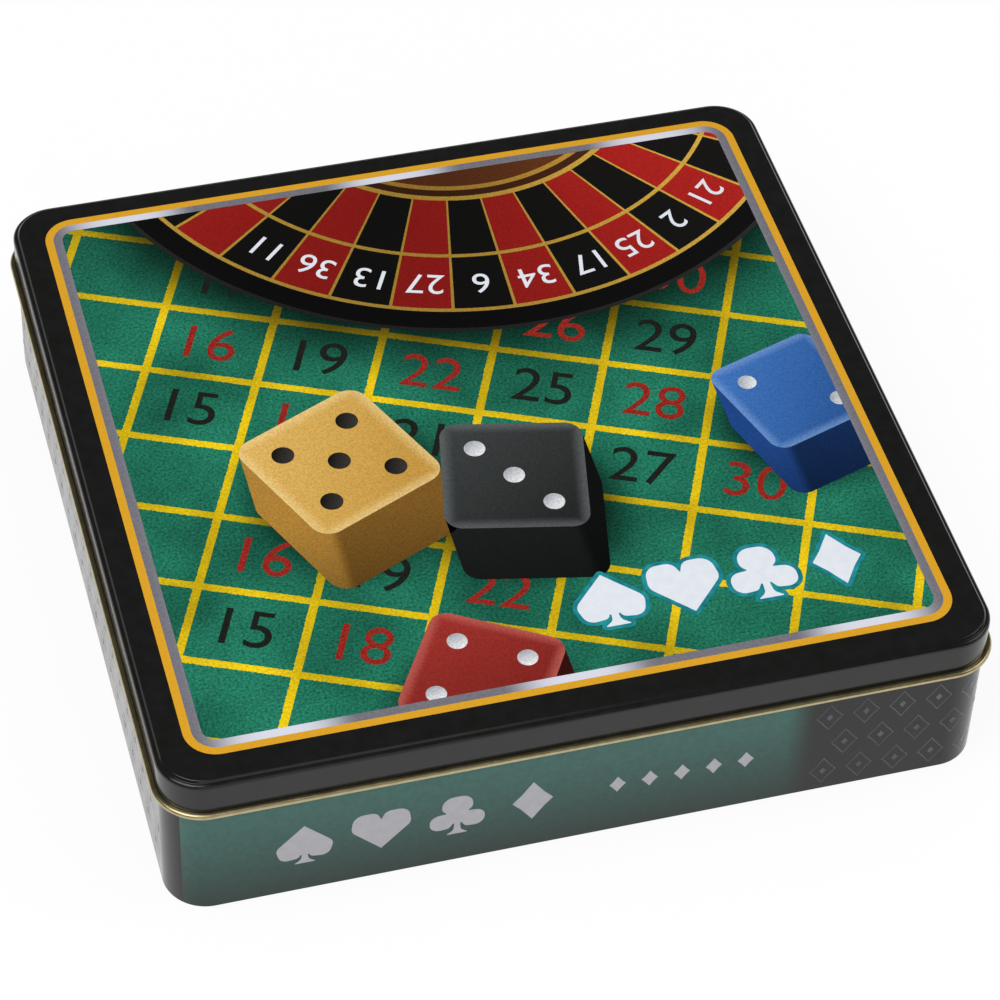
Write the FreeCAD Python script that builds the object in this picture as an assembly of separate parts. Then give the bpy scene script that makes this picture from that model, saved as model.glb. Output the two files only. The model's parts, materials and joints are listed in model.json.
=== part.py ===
import FreeCAD, Part
import math
import os

# Drinking roulette game in a square tin with a slip-on lid.
# Millimetres, +Z up, origin at the middle of the footprint on the table, front towards -Y.

# Tin
TIN_WIDTH = 330.0
TIN_HEIGHT = 73.0
LID_CORNER_RADIUS = 18.0
SHEET = 0.3
LID_DEPTH = 18.0
LID_STEP_HEIGHT = 1.0
LID_STEP_RUN = 0.95
LID_SHOULDER_RADIUS = 1.8
LID_STEP_ROUND = 0.45
LID_CLEARANCE = 0.35
LID_SEAT_GAP = 0.3
CURL_RADIUS = 1.25
CURL_MOUTH = 0.15
LOCK_SEAM_WIDTH = 6.0
LOCK_SEAM_DEPTH = 0.5
FOLD_GAP = 0.1
FOLD_HEIGHT = 2.2
FLOOR_HEIGHT = 3.3
FLOOR_BEND_RADIUS = 1.0

# Foam insert
INSERT_SIDE_CLEARANCE = 0.6
INSERT_SIDE_WEB = 17.7
INSERT_WELL_CLEARANCE = 0.8

# Folded felt mat: three layers along X, each of them two cloths thick
MAT_MARGIN = 11.25
MAT_LAYER = 2.5
MAT_LAYERS = 3
MAT_LAYER_GAP = 0.5
MAT_SEAT_GAP = 0.3
MAT_HEADROOM = 3.0

# Wheel tray
TRAY_WALL = 2.0
TRAY_DECK_HEIGHT = 20.0
TRAY_EDGE_DEPTH = 6.0
TRAY_EDGE_MARGIN = 4.5
LOBE_GAP = 0.2
TRAY_VALLEY_DEPTH = 9.0
TRAY_VALLEY_ROUND = 5.0
COLLAR_CLEARANCE = 0.5
COLLAR_WALL = 1.8
COLLAR_DEPTH = 9.0
RIM_STANDOFF = 1.5
RIM_WIDTH = 5.0
RIM_HEIGHT = 34.0
RIM_ROUND = 2.2
TRACK_HEIGHT = 24.0
TRACK_ROUND = 3.0
TRACK_INNER_LEDGE = 5.0
APRON_WIDTH = 14.0
APRON_HEIGHT = 17.0
WELL_CLEARANCE = 1.2
WELL_FLOOR_HEIGHT = 6.0
WELL_ROUND = 1.5
BOSS_RADIUS = 8.0
BOSS_HEIGHT = 12.0

# Rotor and what turns with it
ROTOR_WALL = 2.0
ROTOR_EDGE_HEIGHT = 16.0
ROTOR_EDGE_DEPTH = 7.0
NUMBER_BAND_WIDTH = 13.0
NUMBER_BAND_FALL = 3.0
NUMBER_RING_THICKNESS = 0.4
NUMBER_RING_MARGIN = 0.8
POCKET_COUNT = 37
POCKET_LENGTH = 14.0
POCKET_DEPTH = 3.0
FRET_THICKNESS = 0.9
FRET_BAND = 1.0
FRET_FLOOR = 0.5
FRET_PROUD = 0.6
FRET_ROUND = 1.2
CONE_RISE = 7.0
HUB_RADIUS = 7.0
HUB_RISE = 3.0
SEAT_AIR = 0.05

# Spindle
SPINDLE_RADIUS = 3.0
SPINDLE_FIT = 0.05
SPINDLE_HEAD_RADIUS = 5.0
SPINDLE_HEAD_HEIGHT = 2.0
SPINDLE_PROUD = 2.0
SPINDLE_CHAMFER = 0.5
WASHER_RADIUS = 6.5
WASHER_THICKNESS = 0.9

# Turret
TURRET_FOOT_RADIUS = 9.0
TURRET_FOOT_HEIGHT = 2.5
TURRET_WAIST_RADIUS = 4.5
TURRET_HEAD_RADIUS = 6.5
TURRET_HEAD_HEIGHT = 9.0
TURRET_HEADROOM = 6.0
TURRET_BORE_AIR = 0.3
TURRET_FOOT_ROUND = 1.0
TURRET_NECK_ROUND = 0.9
TURRET_CROWN_ROUND = 5.0
TURRET_ARM_COUNT = 4
TURRET_ARM_RADIUS = 1.7
TURRET_ARM_REACH = 21.0
TURRET_KNOB_RADIUS = 3.4

# Ball
BALL_RADIUS = 3.5
BALL_AIR = 0.3

# Shot glasses
GLASS_COUNT = 16
GLASS_DRAFT = 2.5
GLASS_WALL = 1.6
GLASS_BASE = 5.0
GLASS_FOOT_ROUND = 1.2
GLASS_RIM_ROUND = 0.7
GLASS_INNER_ROUND = 3.0
GLASS_HEADROOM = 3.2

# Chips
CHIP_RADIUS = 19.5
CHIP_THICKNESS = 2.2
CHIP_AIR = 0.04
CHIP_BEVEL = 0.3
CHIP_RECESS_RADIUS = 12.5
CHIP_RECESS_DEPTH = 0.25
CHIP_WELL_CLEARANCE = 0.7
CHIP_WELL_WEB = 4.0
CHIP_HEADROOM = 0.5
CHIP_COLOURS = ("yellow", "black", "blue", "red")
NOTCH_WIDTH = 20.0
NOTCH_REACH = 14.0
NOTCH_DEPTH = 30.0

# Rake
HANDLE_RADIUS = 4.0
HANDLE_TENON_RADIUS = 3.5
HANDLE_TENON_LENGTH = 12.0
HANDLE_END_ROUND = 2.0
SLOT_CLEARANCE = 0.5
SLOT_WEB = 3.0
SLOT_COVER = 6.0
SLOT_END_WEB = 10.35
SLOT_GRIP_WIDTH = 26.0
RAKE_BLADE_LENGTH = 86.0
RAKE_BLADE_HEIGHT = 20.0
RAKE_BLADE_THICKNESS = 4.0
RAKE_BLADE_CORNER = 4.0
RAKE_BOSS_RADIUS = 6.5
RAKE_BOSS_LENGTH = 16.0
RAKE_SOCKET_CLEARANCE = 0.2
RAKE_SOCKET_DEPTH = 13.0
RAKE_POCKET_CLEARANCE = 0.5
RAKE_POCKET_COVER = 3.0
RAKE_END_WEB = 9.35

# Heights and half widths that follow from the sizes above
LID_HALF = TIN_WIDTH / 2
CORNER_REACH = LID_HALF - LID_CORNER_RADIUS
CURL_INNER_RADIUS = CURL_RADIUS - SHEET
LID_SHOULDER_HEIGHT = TIN_HEIGHT - LID_STEP_HEIGHT
WALL_HALF = LID_HALF - SHEET - LID_CLEARANCE
WALL_TOP = LID_SHOULDER_HEIGHT - SHEET - LID_SEAT_GAP
MAT_THICKNESS = MAT_LAYERS * MAT_LAYER + (MAT_LAYERS - 1) * MAT_LAYER_GAP
MAT_BASE = TIN_HEIGHT - SHEET - MAT_HEADROOM - MAT_THICKNESS
INSERT_TOP = MAT_BASE - MAT_SEAT_GAP
INSERT_HALF = WALL_HALF - 2 * CURL_RADIUS - INSERT_SIDE_CLEARANCE
INSERT_WELL_RADIUS = INSERT_HALF - INSERT_SIDE_WEB
MAT_SIDE = 2 * (INSERT_HALF - MAT_MARGIN)
CONTENT_TOP = INSERT_TOP - FLOOR_HEIGHT

# Wheel radii, and heights above the tin's floor
TRAY_RADIUS = INSERT_WELL_RADIUS - INSERT_WELL_CLEARANCE
GLASS_HEIGHT = CONTENT_TOP - GLASS_HEADROOM
GLASS_TAPER = GLASS_DRAFT / GLASS_HEIGHT
LOBE_PITCH_SHARE = math.sin(math.pi / GLASS_COUNT)
LOBE_RADIUS = (TRAY_RADIUS * LOBE_PITCH_SHARE - LOBE_GAP / 2) / (1 + LOBE_PITCH_SHARE)
GLASS_RING_RADIUS = TRAY_RADIUS - LOBE_RADIUS
COLLAR_RADIUS = LOBE_RADIUS - TRAY_EDGE_MARGIN - COLLAR_WALL
GLASS_BASE_RADIUS = COLLAR_RADIUS - COLLAR_CLEARANCE - GLASS_TAPER * TRAY_DECK_HEIGHT
GLASS_TOP_RADIUS = GLASS_BASE_RADIUS + GLASS_DRAFT
TRAY_VALLEY_RADIUS = TRAY_RADIUS - TRAY_VALLEY_DEPTH
RIM_OUTER_RADIUS = GLASS_RING_RADIUS - COLLAR_RADIUS - COLLAR_WALL - RIM_STANDOFF
RIM_INNER_RADIUS = RIM_OUTER_RADIUS - RIM_WIDTH
BALL_RING_RADIUS = RIM_INNER_RADIUS - TRACK_ROUND - BALL_RADIUS
TRACK_INNER_RADIUS = BALL_RING_RADIUS - TRACK_INNER_LEDGE
WELL_RADIUS = TRACK_INNER_RADIUS - APRON_WIDTH
ROTOR_RADIUS = WELL_RADIUS - WELL_CLEARANCE
BORE_RADIUS = SPINDLE_RADIUS + SPINDLE_FIT
NUMBER_INNER_RADIUS = ROTOR_RADIUS - NUMBER_BAND_WIDTH
NUMBER_INNER_HEIGHT = ROTOR_EDGE_HEIGHT - NUMBER_BAND_FALL
POCKET_INNER_RADIUS = NUMBER_INNER_RADIUS - POCKET_LENGTH
POCKET_FLOOR_HEIGHT = NUMBER_INNER_HEIGHT - POCKET_DEPTH
CONE_TOP = NUMBER_INNER_HEIGHT + CONE_RISE
HUB_TOP = CONE_TOP + HUB_RISE
HUB_BASE = BOSS_HEIGHT + WASHER_THICKNESS + 2 * SEAT_AIR
TURRET_BASE = HUB_TOP + SEAT_AIR
TURRET_TOP = CONTENT_TOP - TURRET_HEADROOM
SPINDLE_TOP = HUB_TOP + SPINDLE_PROUD
SPINDLE_BASE = WELL_FLOOR_HEIGHT - TRAY_WALL - SPINDLE_HEAD_HEIGHT

# Wells in the insert
CHIP_WELL_RADIUS = CHIP_RADIUS + CHIP_WELL_CLEARANCE
CHIP_REACH = INSERT_HALF - CHIP_WELL_WEB - CHIP_WELL_RADIUS
CHIP_PITCH = CHIP_THICKNESS + CHIP_AIR
CHIPS_PER_STACK = int((CONTENT_TOP - CHIP_HEADROOM) / CHIP_PITCH)
CHIP_WELL_NEAR = CHIP_REACH - CHIP_WELL_RADIUS
SLOT_HALF_LENGTH = CHIP_WELL_NEAR - SLOT_END_WEB
HANDLE_LENGTH = 2 * (SLOT_HALF_LENGTH - SLOT_CLEARANCE) - HANDLE_TENON_LENGTH
SLOT_WIDTH = 2 * (HANDLE_RADIUS + SLOT_CLEARANCE)
SLOT_Y = -(INSERT_HALF - SLOT_WEB - SLOT_WIDTH / 2)
HANDLE_AXIS_HEIGHT = INSERT_TOP - SLOT_COVER - HANDLE_RADIUS
SLOT_FLOOR = HANDLE_AXIS_HEIGHT - HANDLE_RADIUS - SEAT_AIR
RAKE_BACK_X = -(INSERT_HALF - SLOT_WEB - RAKE_POCKET_CLEARANCE)
RAKE_POCKET_HALF = RAKE_BLADE_LENGTH / 2 + RAKE_POCKET_CLEARANCE
RAKE_CENTRE_Y = CHIP_WELL_NEAR - RAKE_END_WEB - RAKE_POCKET_HALF
RAKE_BASE = INSERT_TOP - RAKE_POCKET_COVER - RAKE_BLADE_HEIGHT
RAKE_POCKET_FLOOR = RAKE_BASE - SEAT_AIR
RAKE_BOSS_HEIGHT = RAKE_BASE + RAKE_BLADE_HEIGHT / 2

ORIGIN = FreeCAD.Vector(0, 0, 0)
UP = FreeCAD.Vector(0, 0, 1)
TINY = 1e-6
RIGHT_ANGLE = 90.0
FULL_TURN = 360.0


def point(radius, height):
    """A point of a section, drawn in the XZ plane."""
    return FreeCAD.Vector(radius, 0, height)


def side_normal(start, end):
    """The unit vector that points to the left of the way from start to end."""
    run = (end - start).normalize()
    return FreeCAD.Vector(-run.z, 0, run.x)


def corner_turn(before, corner, after):
    """The angle by which a line turns at a corner, positive to the left."""
    first = (corner - before).normalize()
    second = (after - corner).normalize()
    return math.atan2(first.x * second.z - first.z * second.x, first.dot(second))


def offset_points(points, distance):
    """The points of an open line moved to its left by a distance, with mitred corners."""
    moved = []
    last = len(points) - 1
    for index, here in enumerate(points):
        run_in = max(index - 1, 0)
        run_out = min(index, last - 1)
        normal_in = side_normal(points[run_in], points[run_in + 1])
        normal_out = side_normal(points[run_out], points[run_out + 1])
        moved.append(here + (normal_in + normal_out) * (distance / (1 + normal_in.dot(normal_out))))
    return moved


def rounded_edges(points, rounds):
    """The edges of an open line of points whose inner corners are rounded by the given radii."""
    edges = []
    start = points[0]
    for index, radius in enumerate(rounds, start=1):
        corner = points[index]
        turn = corner_turn(points[index - 1], corner, points[index + 1])
        if radius < TINY:
            edges.append(Part.LineSegment(start, corner).toShape())
            start = corner
            continue
        setback = radius * math.tan(abs(turn) / 2)
        way_in = (points[index - 1] - corner).normalize()
        way_out = (points[index + 1] - corner).normalize()
        arc_start = corner + way_in * setback
        arc_end = corner + way_out * setback
        bisector = (way_in + way_out).normalize()
        middle = corner + bisector * (radius / math.cos(turn / 2) - radius)
        if (arc_start - start).Length > TINY:
            edges.append(Part.LineSegment(start, arc_start).toShape())
        edges.append(Part.Arc(arc_start, middle, arc_end).toShape())
        start = arc_end
    edges.append(Part.LineSegment(start, points[-1]).toShape())
    return edges


def closed_section(points, rounds):
    """A face inside a line of points, closed by a straight edge from its last point to its first."""
    edges = rounded_edges(points, rounds)
    edges.append(Part.LineSegment(points[-1], points[0]).toShape())
    return Part.Face(Part.Wire(edges))


def sheet_section(points, rounds, thickness):
    """The section of a sheet whose one face follows the points; the sheet lies to the left of them."""
    far_points = offset_points(points, thickness)
    far_rounds = []
    for index, radius in enumerate(rounds, start=1):
        turn = corner_turn(points[index - 1], points[index], points[index + 1])
        far_radius = radius - math.copysign(thickness, turn) if radius > TINY else 0.0
        far_rounds.append(max(far_radius, 0.0))
    near_edges = rounded_edges(points, rounds)
    far_edges = rounded_edges(far_points[::-1], far_rounds[::-1])
    end_cap = Part.LineSegment(points[-1], far_points[-1]).toShape()
    start_cap = Part.LineSegment(far_points[0], points[0]).toShape()
    return Part.Face(Part.Wire(near_edges + [end_cap] + far_edges + [start_cap]))


def turned(section):
    """A section turned once round the Z axis."""
    return section.revolve(ORIGIN, UP, FULL_TURN)


def joined(pieces):
    """One solid made of pieces that meet or overlap."""
    return pieces[0].multiFuse(pieces[1:]).removeSplitter()


def round_the_square(section):
    """A section carried round the tin: along four sides and about the centres of four corners."""
    pieces = []
    for quarter in range(4):
        corner = section.revolve(ORIGIN, UP, RIGHT_ANGLE)
        side = section.extrude(FreeCAD.Vector(0, -2 * CORNER_REACH, 0))
        for piece in (corner, side):
            piece.translate(FreeCAD.Vector(CORNER_REACH, CORNER_REACH, 0))
            piece.rotate(ORIGIN, UP, quarter * RIGHT_ANGLE)
            pieces.append(piece)
    return pieces


def square_plate(half, thickness, base):
    """A square plate about the Z axis."""
    corner = FreeCAD.Vector(-half, -half, base)
    return Part.makeBox(2 * half, 2 * half, thickness, corner)


def cylinder(radius, height, x, y, base):
    """An upright cylinder."""
    return Part.makeCylinder(radius, height, FreeCAD.Vector(x, y, base), UP)


def ring(inner_radius, outer_radius, height, base):
    """A flat ring about the Z axis."""
    return cylinder(outer_radius, height, 0, 0, base).cut(cylinder(inner_radius, height, 0, 0, base))


def lid():
    """Raised panel, step, shoulder, skirt and outward curl, pressed from one sheet."""
    skirt = LID_CORNER_RADIUS
    foot = skirt - LID_SHOULDER_RADIUS
    curl_low = TIN_HEIGHT - LID_DEPTH + SHEET
    curl_high = curl_low + 2 * CURL_INNER_RADIUS
    curl_out = skirt + 2 * CURL_INNER_RADIUS
    points = [
        point(skirt + CURL_MOUTH, curl_high),
        point(curl_out, curl_high),
        point(curl_out, curl_low),
        point(skirt, curl_low),
        point(skirt, LID_SHOULDER_HEIGHT),
        point(foot, LID_SHOULDER_HEIGHT),
        point(foot - LID_STEP_RUN, TIN_HEIGHT),
        point(0, TIN_HEIGHT),
    ]
    rounds = [CURL_INNER_RADIUS] * 3 + [LID_SHOULDER_RADIUS, LID_STEP_ROUND, LID_STEP_ROUND + SHEET]
    pieces = round_the_square(sheet_section(points, rounds, SHEET))
    pieces.append(square_plate(CORNER_REACH, SHEET, TIN_HEIGHT - SHEET))
    return joined(pieces)


def tin_wall():
    """Straight wall, with a fold at its foot for the bottom and an inward curl at its mouth."""
    outside = WALL_HALF - CORNER_REACH
    fold_inside = outside - 3 * SHEET - 2 * FOLD_GAP
    curl_inside = outside - 2 * CURL_RADIUS
    curl_low = WALL_TOP - 2 * CURL_RADIUS
    fold_round = SHEET + FOLD_GAP
    points = [
        point(fold_inside, FOLD_HEIGHT),
        point(fold_inside, 0),
        point(outside, 0),
        point(outside, WALL_TOP),
        point(curl_inside, WALL_TOP),
        point(curl_inside, curl_low),
        point(outside - SHEET - CURL_MOUTH, curl_low),
    ]
    rounds = [fold_round] * 2 + [CURL_RADIUS] * 3
    return joined(round_the_square(sheet_section(points, rounds, SHEET)) + [lock_seam(curl_low)])


def lock_seam(top):
    """The flat lock inside the back of the wall, where the two ends of its sheet hook together."""
    base = FLOOR_HEIGHT + FOLD_GAP
    depth = LOCK_SEAM_DEPTH + SHEET / 2
    corner = FreeCAD.Vector(-LOCK_SEAM_WIDTH / 2, WALL_HALF - SHEET / 2 - depth, base)
    return Part.makeBox(LOCK_SEAM_WIDTH, depth, top - CURL_RADIUS - base, corner)


def tin_bottom():
    """Flat bottom with a flange that stands in the fold of the wall."""
    flange = WALL_HALF - CORNER_REACH - SHEET - FOLD_GAP
    points = [
        point(flange, SHEET + FOLD_GAP),
        point(flange, FLOOR_HEIGHT),
        point(0, FLOOR_HEIGHT),
    ]
    pieces = round_the_square(sheet_section(points, [FLOOR_BEND_RADIUS], SHEET))
    pieces.append(square_plate(CORNER_REACH, SHEET, FLOOR_HEIGHT - SHEET))
    return joined(pieces)


def chip_places():
    """The four corners where a stack of chips stands."""
    quarters = [(-1, 1), (1, 1), (1, -1), (-1, -1)]
    return [(side_x * CHIP_REACH, side_y * CHIP_REACH) for side_x, side_y in quarters]


def chip_well(x, y):
    """A round well for one stack, with a finger notch towards the middle."""
    depth = INSERT_TOP - FLOOR_HEIGHT
    well = cylinder(CHIP_WELL_RADIUS, depth, x, y, FLOOR_HEIGHT)
    notch_length = CHIP_WELL_RADIUS + NOTCH_REACH
    corner = FreeCAD.Vector(0, -NOTCH_WIDTH / 2, INSERT_TOP - NOTCH_DEPTH)
    notch = Part.makeBox(notch_length, NOTCH_WIDTH, NOTCH_DEPTH, corner)
    notch.rotate(ORIGIN, UP, math.degrees(math.atan2(-y, -x)))
    notch.translate(FreeCAD.Vector(x, y, 0))
    return well.fuse(notch)


def handle_slot():
    """A slot for the rake handle along the front, opened to the middle well for a finger."""
    length = 2 * SLOT_HALF_LENGTH
    depth = INSERT_TOP - SLOT_FLOOR
    corner = FreeCAD.Vector(-length / 2, SLOT_Y - SLOT_WIDTH / 2, SLOT_FLOOR)
    slot = Part.makeBox(length, SLOT_WIDTH, depth, corner)
    grip_length = INSERT_HALF - INSERT_SIDE_WEB
    grip_corner = FreeCAD.Vector(-SLOT_GRIP_WIDTH / 2, -grip_length - SLOT_WIDTH / 2, SLOT_FLOOR)
    grip = Part.makeBox(SLOT_GRIP_WIDTH, grip_length / 2, depth, grip_corner)
    return slot.fuse(grip)


def rake_pocket():
    """A pocket for the rake head on the left: a slit for the blade and a bay for its boss."""
    depth = INSERT_TOP - RAKE_POCKET_FLOOR
    slit_length = 2 * RAKE_POCKET_HALF
    slit_width = RAKE_BLADE_THICKNESS + 2 * RAKE_POCKET_CLEARANCE
    slit_x = RAKE_BACK_X - RAKE_POCKET_CLEARANCE
    slit_corner = FreeCAD.Vector(slit_x, RAKE_CENTRE_Y - slit_length / 2, RAKE_POCKET_FLOOR)
    slit = Part.makeBox(slit_width, slit_length, depth, slit_corner)
    bay_width = 2 * (RAKE_BOSS_RADIUS + RAKE_POCKET_CLEARANCE)
    bay_length = slit_width + RAKE_BOSS_LENGTH
    bay_corner = FreeCAD.Vector(slit_x, RAKE_CENTRE_Y - bay_width / 2, RAKE_POCKET_FLOOR)
    return slit.fuse(Part.makeBox(bay_length, bay_width, depth, bay_corner))


def insert():
    """Foam frame that fills the tin round the wheel and holds everything else."""
    depth = INSERT_TOP - FLOOR_HEIGHT
    corner_radius = INSERT_HALF - CORNER_REACH
    block = square_plate(INSERT_HALF, depth, FLOOR_HEIGHT)
    upright = [edge for edge in block.Edges if abs(edge.tangentAt(edge.FirstParameter).z) > 1 - TINY]
    block = block.makeFillet(corner_radius, upright)
    cuts = [cylinder(INSERT_WELL_RADIUS, depth, 0, 0, FLOOR_HEIGHT), handle_slot(), rake_pocket()]
    cuts += [chip_well(x, y) for x, y in chip_places()]
    return block.cut(cuts).removeSplitter()


def game_mat():
    """Felt mat folded to and fro: even layers run to the right, odd ones back to the left."""
    left = -MAT_SIDE / 2
    right = MAT_SIDE / 2
    pitch = MAT_LAYER + MAT_LAYER_GAP
    points = [point(left, MAT_BASE)]
    rounds = []
    for layer in range(MAT_LAYERS - 1):
        low = MAT_BASE + layer * pitch
        if layer % 2 == 0:
            points += [point(right, low), point(right, low + pitch + MAT_LAYER)]
            rounds += [MAT_LAYER + MAT_LAYER_GAP / 2] * 2
        else:
            inside = left + MAT_LAYER
            points += [point(inside, low + MAT_LAYER), point(inside, low + pitch)]
            rounds += [MAT_LAYER_GAP / 2] * 2
    last_low = MAT_BASE + (MAT_LAYERS - 1) * pitch
    points.append(point(right, last_low) if MAT_LAYERS % 2 else point(left, last_low + MAT_LAYER))
    mat = sheet_section(points, rounds, MAT_LAYER).extrude(FreeCAD.Vector(0, MAT_SIDE, 0))
    mat.translate(FreeCAD.Vector(0, -MAT_SIDE / 2, 0))
    return mat


def glass_places():
    """The centres of the holes in the tray, the first one at the back."""
    places = []
    for index in range(GLASS_COUNT):
        angle = math.radians(RIGHT_ANGLE - index * FULL_TURN / GLASS_COUNT)
        places.append((GLASS_RING_RADIUS * math.cos(angle), GLASS_RING_RADIUS * math.sin(angle)))
    return places


def scalloped_plate(margin, thickness, base):
    """A plate with one round lobe about each glass, whose outline lies a margin inside the tray's own."""
    lobes = [cylinder(LOBE_RADIUS - margin, thickness, x, y, base) for x, y in glass_places()]
    plate = joined([cylinder(TRAY_VALLEY_RADIUS - margin, thickness, 0, 0, base)] + lobes)
    valleys = [edge for edge in plate.Edges if abs(edge.tangentAt(edge.FirstParameter).z) > 1 - TINY]
    valleys = [edge for edge in valleys if is_valley(edge, margin)]
    return plate.makeFillet(TRAY_VALLEY_ROUND + margin, valleys)


def is_valley(edge, margin):
    """Whether an upright edge is where two lobes or a lobe and the round plate meet."""
    foot = edge.Vertexes[0].Point
    return math.hypot(foot.x, foot.y) < TRAY_RADIUS - margin - TRAY_VALLEY_ROUND


def wheel_bowl():
    """Moulding: scalloped tray that the glasses pass through, rim, ball track, apron, rotor well and boss."""
    points = [
        point(RIM_OUTER_RADIUS, 0),
        point(RIM_OUTER_RADIUS, RIM_HEIGHT),
        point(RIM_INNER_RADIUS, RIM_HEIGHT),
        point(RIM_INNER_RADIUS, TRACK_HEIGHT),
        point(TRACK_INNER_RADIUS, TRACK_HEIGHT),
        point(WELL_RADIUS, APRON_HEIGHT),
        point(WELL_RADIUS, WELL_FLOOR_HEIGHT),
        point(BORE_RADIUS, WELL_FLOOR_HEIGHT),
    ]
    rounds = [RIM_ROUND, RIM_ROUND, TRACK_ROUND, 0, 0, WELL_ROUND]
    bowl = turned(sheet_section(points, rounds, TRAY_WALL))
    boss_base = WELL_FLOOR_HEIGHT - TRAY_WALL
    boss = ring(BORE_RADIUS, BOSS_RADIUS, BOSS_HEIGHT - boss_base, boss_base)
    edge_base = TRAY_DECK_HEIGHT - TRAY_EDGE_DEPTH
    hollow = scalloped_plate(TRAY_WALL, TRAY_EDGE_DEPTH - TRAY_WALL, edge_base)
    bowl_side = cylinder(RIM_OUTER_RADIUS, TRAY_EDGE_DEPTH, 0, 0, edge_base)
    tray = scalloped_plate(0, TRAY_EDGE_DEPTH, edge_base).cut([hollow, bowl_side])
    collar_base = TRAY_DECK_HEIGHT - COLLAR_DEPTH
    collars = []
    holes = []
    for x, y in glass_places():
        collars.append(cylinder(COLLAR_RADIUS + COLLAR_WALL, COLLAR_DEPTH, x, y, collar_base))
        holes.append(cylinder(COLLAR_RADIUS, COLLAR_DEPTH, x, y, collar_base))
    return on_floor(joined([bowl, boss, tray] + collars).cut(holes))


def on_floor(shape):
    """A wheel piece lifted from its own base to the tin's floor."""
    shape.translate(FreeCAD.Vector(0, 0, FLOOR_HEIGHT))
    return shape


def spindle():
    """Headed pin, put through the boss from below."""
    points = [
        point(0, SPINDLE_BASE),
        point(SPINDLE_HEAD_RADIUS, SPINDLE_BASE),
        point(SPINDLE_HEAD_RADIUS, SPINDLE_BASE + SPINDLE_HEAD_HEIGHT),
        point(SPINDLE_RADIUS, SPINDLE_BASE + SPINDLE_HEAD_HEIGHT),
        point(SPINDLE_RADIUS, SPINDLE_TOP - SPINDLE_CHAMFER),
        point(SPINDLE_RADIUS - SPINDLE_CHAMFER, SPINDLE_TOP),
        point(0, SPINDLE_TOP),
    ]
    rounds = [SPINDLE_CHAMFER, 0, 0, 0, 0]
    return on_floor(turned(closed_section(points, rounds)))


def washer():
    """Thrust washer between the boss and the rotor's hub."""
    return on_floor(ring(BORE_RADIUS, WASHER_RADIUS, WASHER_THICKNESS, BOSS_HEIGHT + SEAT_AIR))


def rotor():
    """Moulded dish: edge, number slope, pocket floor, cone and hub."""
    points = [
        point(ROTOR_RADIUS, ROTOR_EDGE_HEIGHT - ROTOR_EDGE_DEPTH),
        point(ROTOR_RADIUS, ROTOR_EDGE_HEIGHT),
        point(NUMBER_INNER_RADIUS, NUMBER_INNER_HEIGHT),
        point(NUMBER_INNER_RADIUS, POCKET_FLOOR_HEIGHT),
        point(POCKET_INNER_RADIUS, POCKET_FLOOR_HEIGHT),
        point(POCKET_INNER_RADIUS, NUMBER_INNER_HEIGHT),
        point(HUB_RADIUS, CONE_TOP),
        point(BORE_RADIUS, CONE_TOP),
    ]
    rounds = [0, 0, 0, 0, 0, 0]
    dish = turned(sheet_section(points, rounds, ROTOR_WALL))
    hub = ring(BORE_RADIUS, HUB_RADIUS, HUB_TOP - HUB_BASE, HUB_BASE)
    return on_floor(joined([dish, hub]))


def fret_ring():
    """Thin ring with a band and one upright fret between each two pockets."""
    inner = POCKET_INNER_RADIUS + SEAT_AIR
    outer = NUMBER_INNER_RADIUS - SEAT_AIR
    base = POCKET_FLOOR_HEIGHT + SEAT_AIR
    top = NUMBER_INNER_HEIGHT + FRET_PROUD
    floor = ring(inner, outer, FRET_FLOOR, base)
    band = ring(inner, inner + FRET_BAND, top - base, base)
    outline = [
        point(inner + FRET_BAND / 2, base),
        point(outer - FRET_BAND / 2, base),
        point(outer - FRET_BAND / 2, top),
        point(inner + FRET_BAND / 2, top),
    ]
    fret = closed_section(outline, [0, FRET_ROUND]).extrude(FreeCAD.Vector(0, FRET_THICKNESS, 0))
    fret.translate(FreeCAD.Vector(0, -FRET_THICKNESS / 2, 0))
    frets = []
    for index in range(POCKET_COUNT):
        copy = fret.copy()
        copy.rotate(ORIGIN, UP, index * FULL_TURN / POCKET_COUNT)
        frets.append(copy)
    return on_floor(joined([floor, band] + frets))


def number_ring():
    """Thin printed ring that lies on the rotor's number slope."""
    slope = NUMBER_BAND_FALL / NUMBER_BAND_WIDTH
    outer = ROTOR_RADIUS - NUMBER_RING_MARGIN
    inner = NUMBER_INNER_RADIUS + NUMBER_RING_MARGIN
    base = NUMBER_INNER_HEIGHT + SEAT_AIR
    points = [
        point(inner, base + slope * NUMBER_RING_MARGIN),
        point(outer, base + slope * (NUMBER_BAND_WIDTH - NUMBER_RING_MARGIN)),
    ]
    return on_floor(turned(sheet_section(points, [], NUMBER_RING_THICKNESS)))


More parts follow.
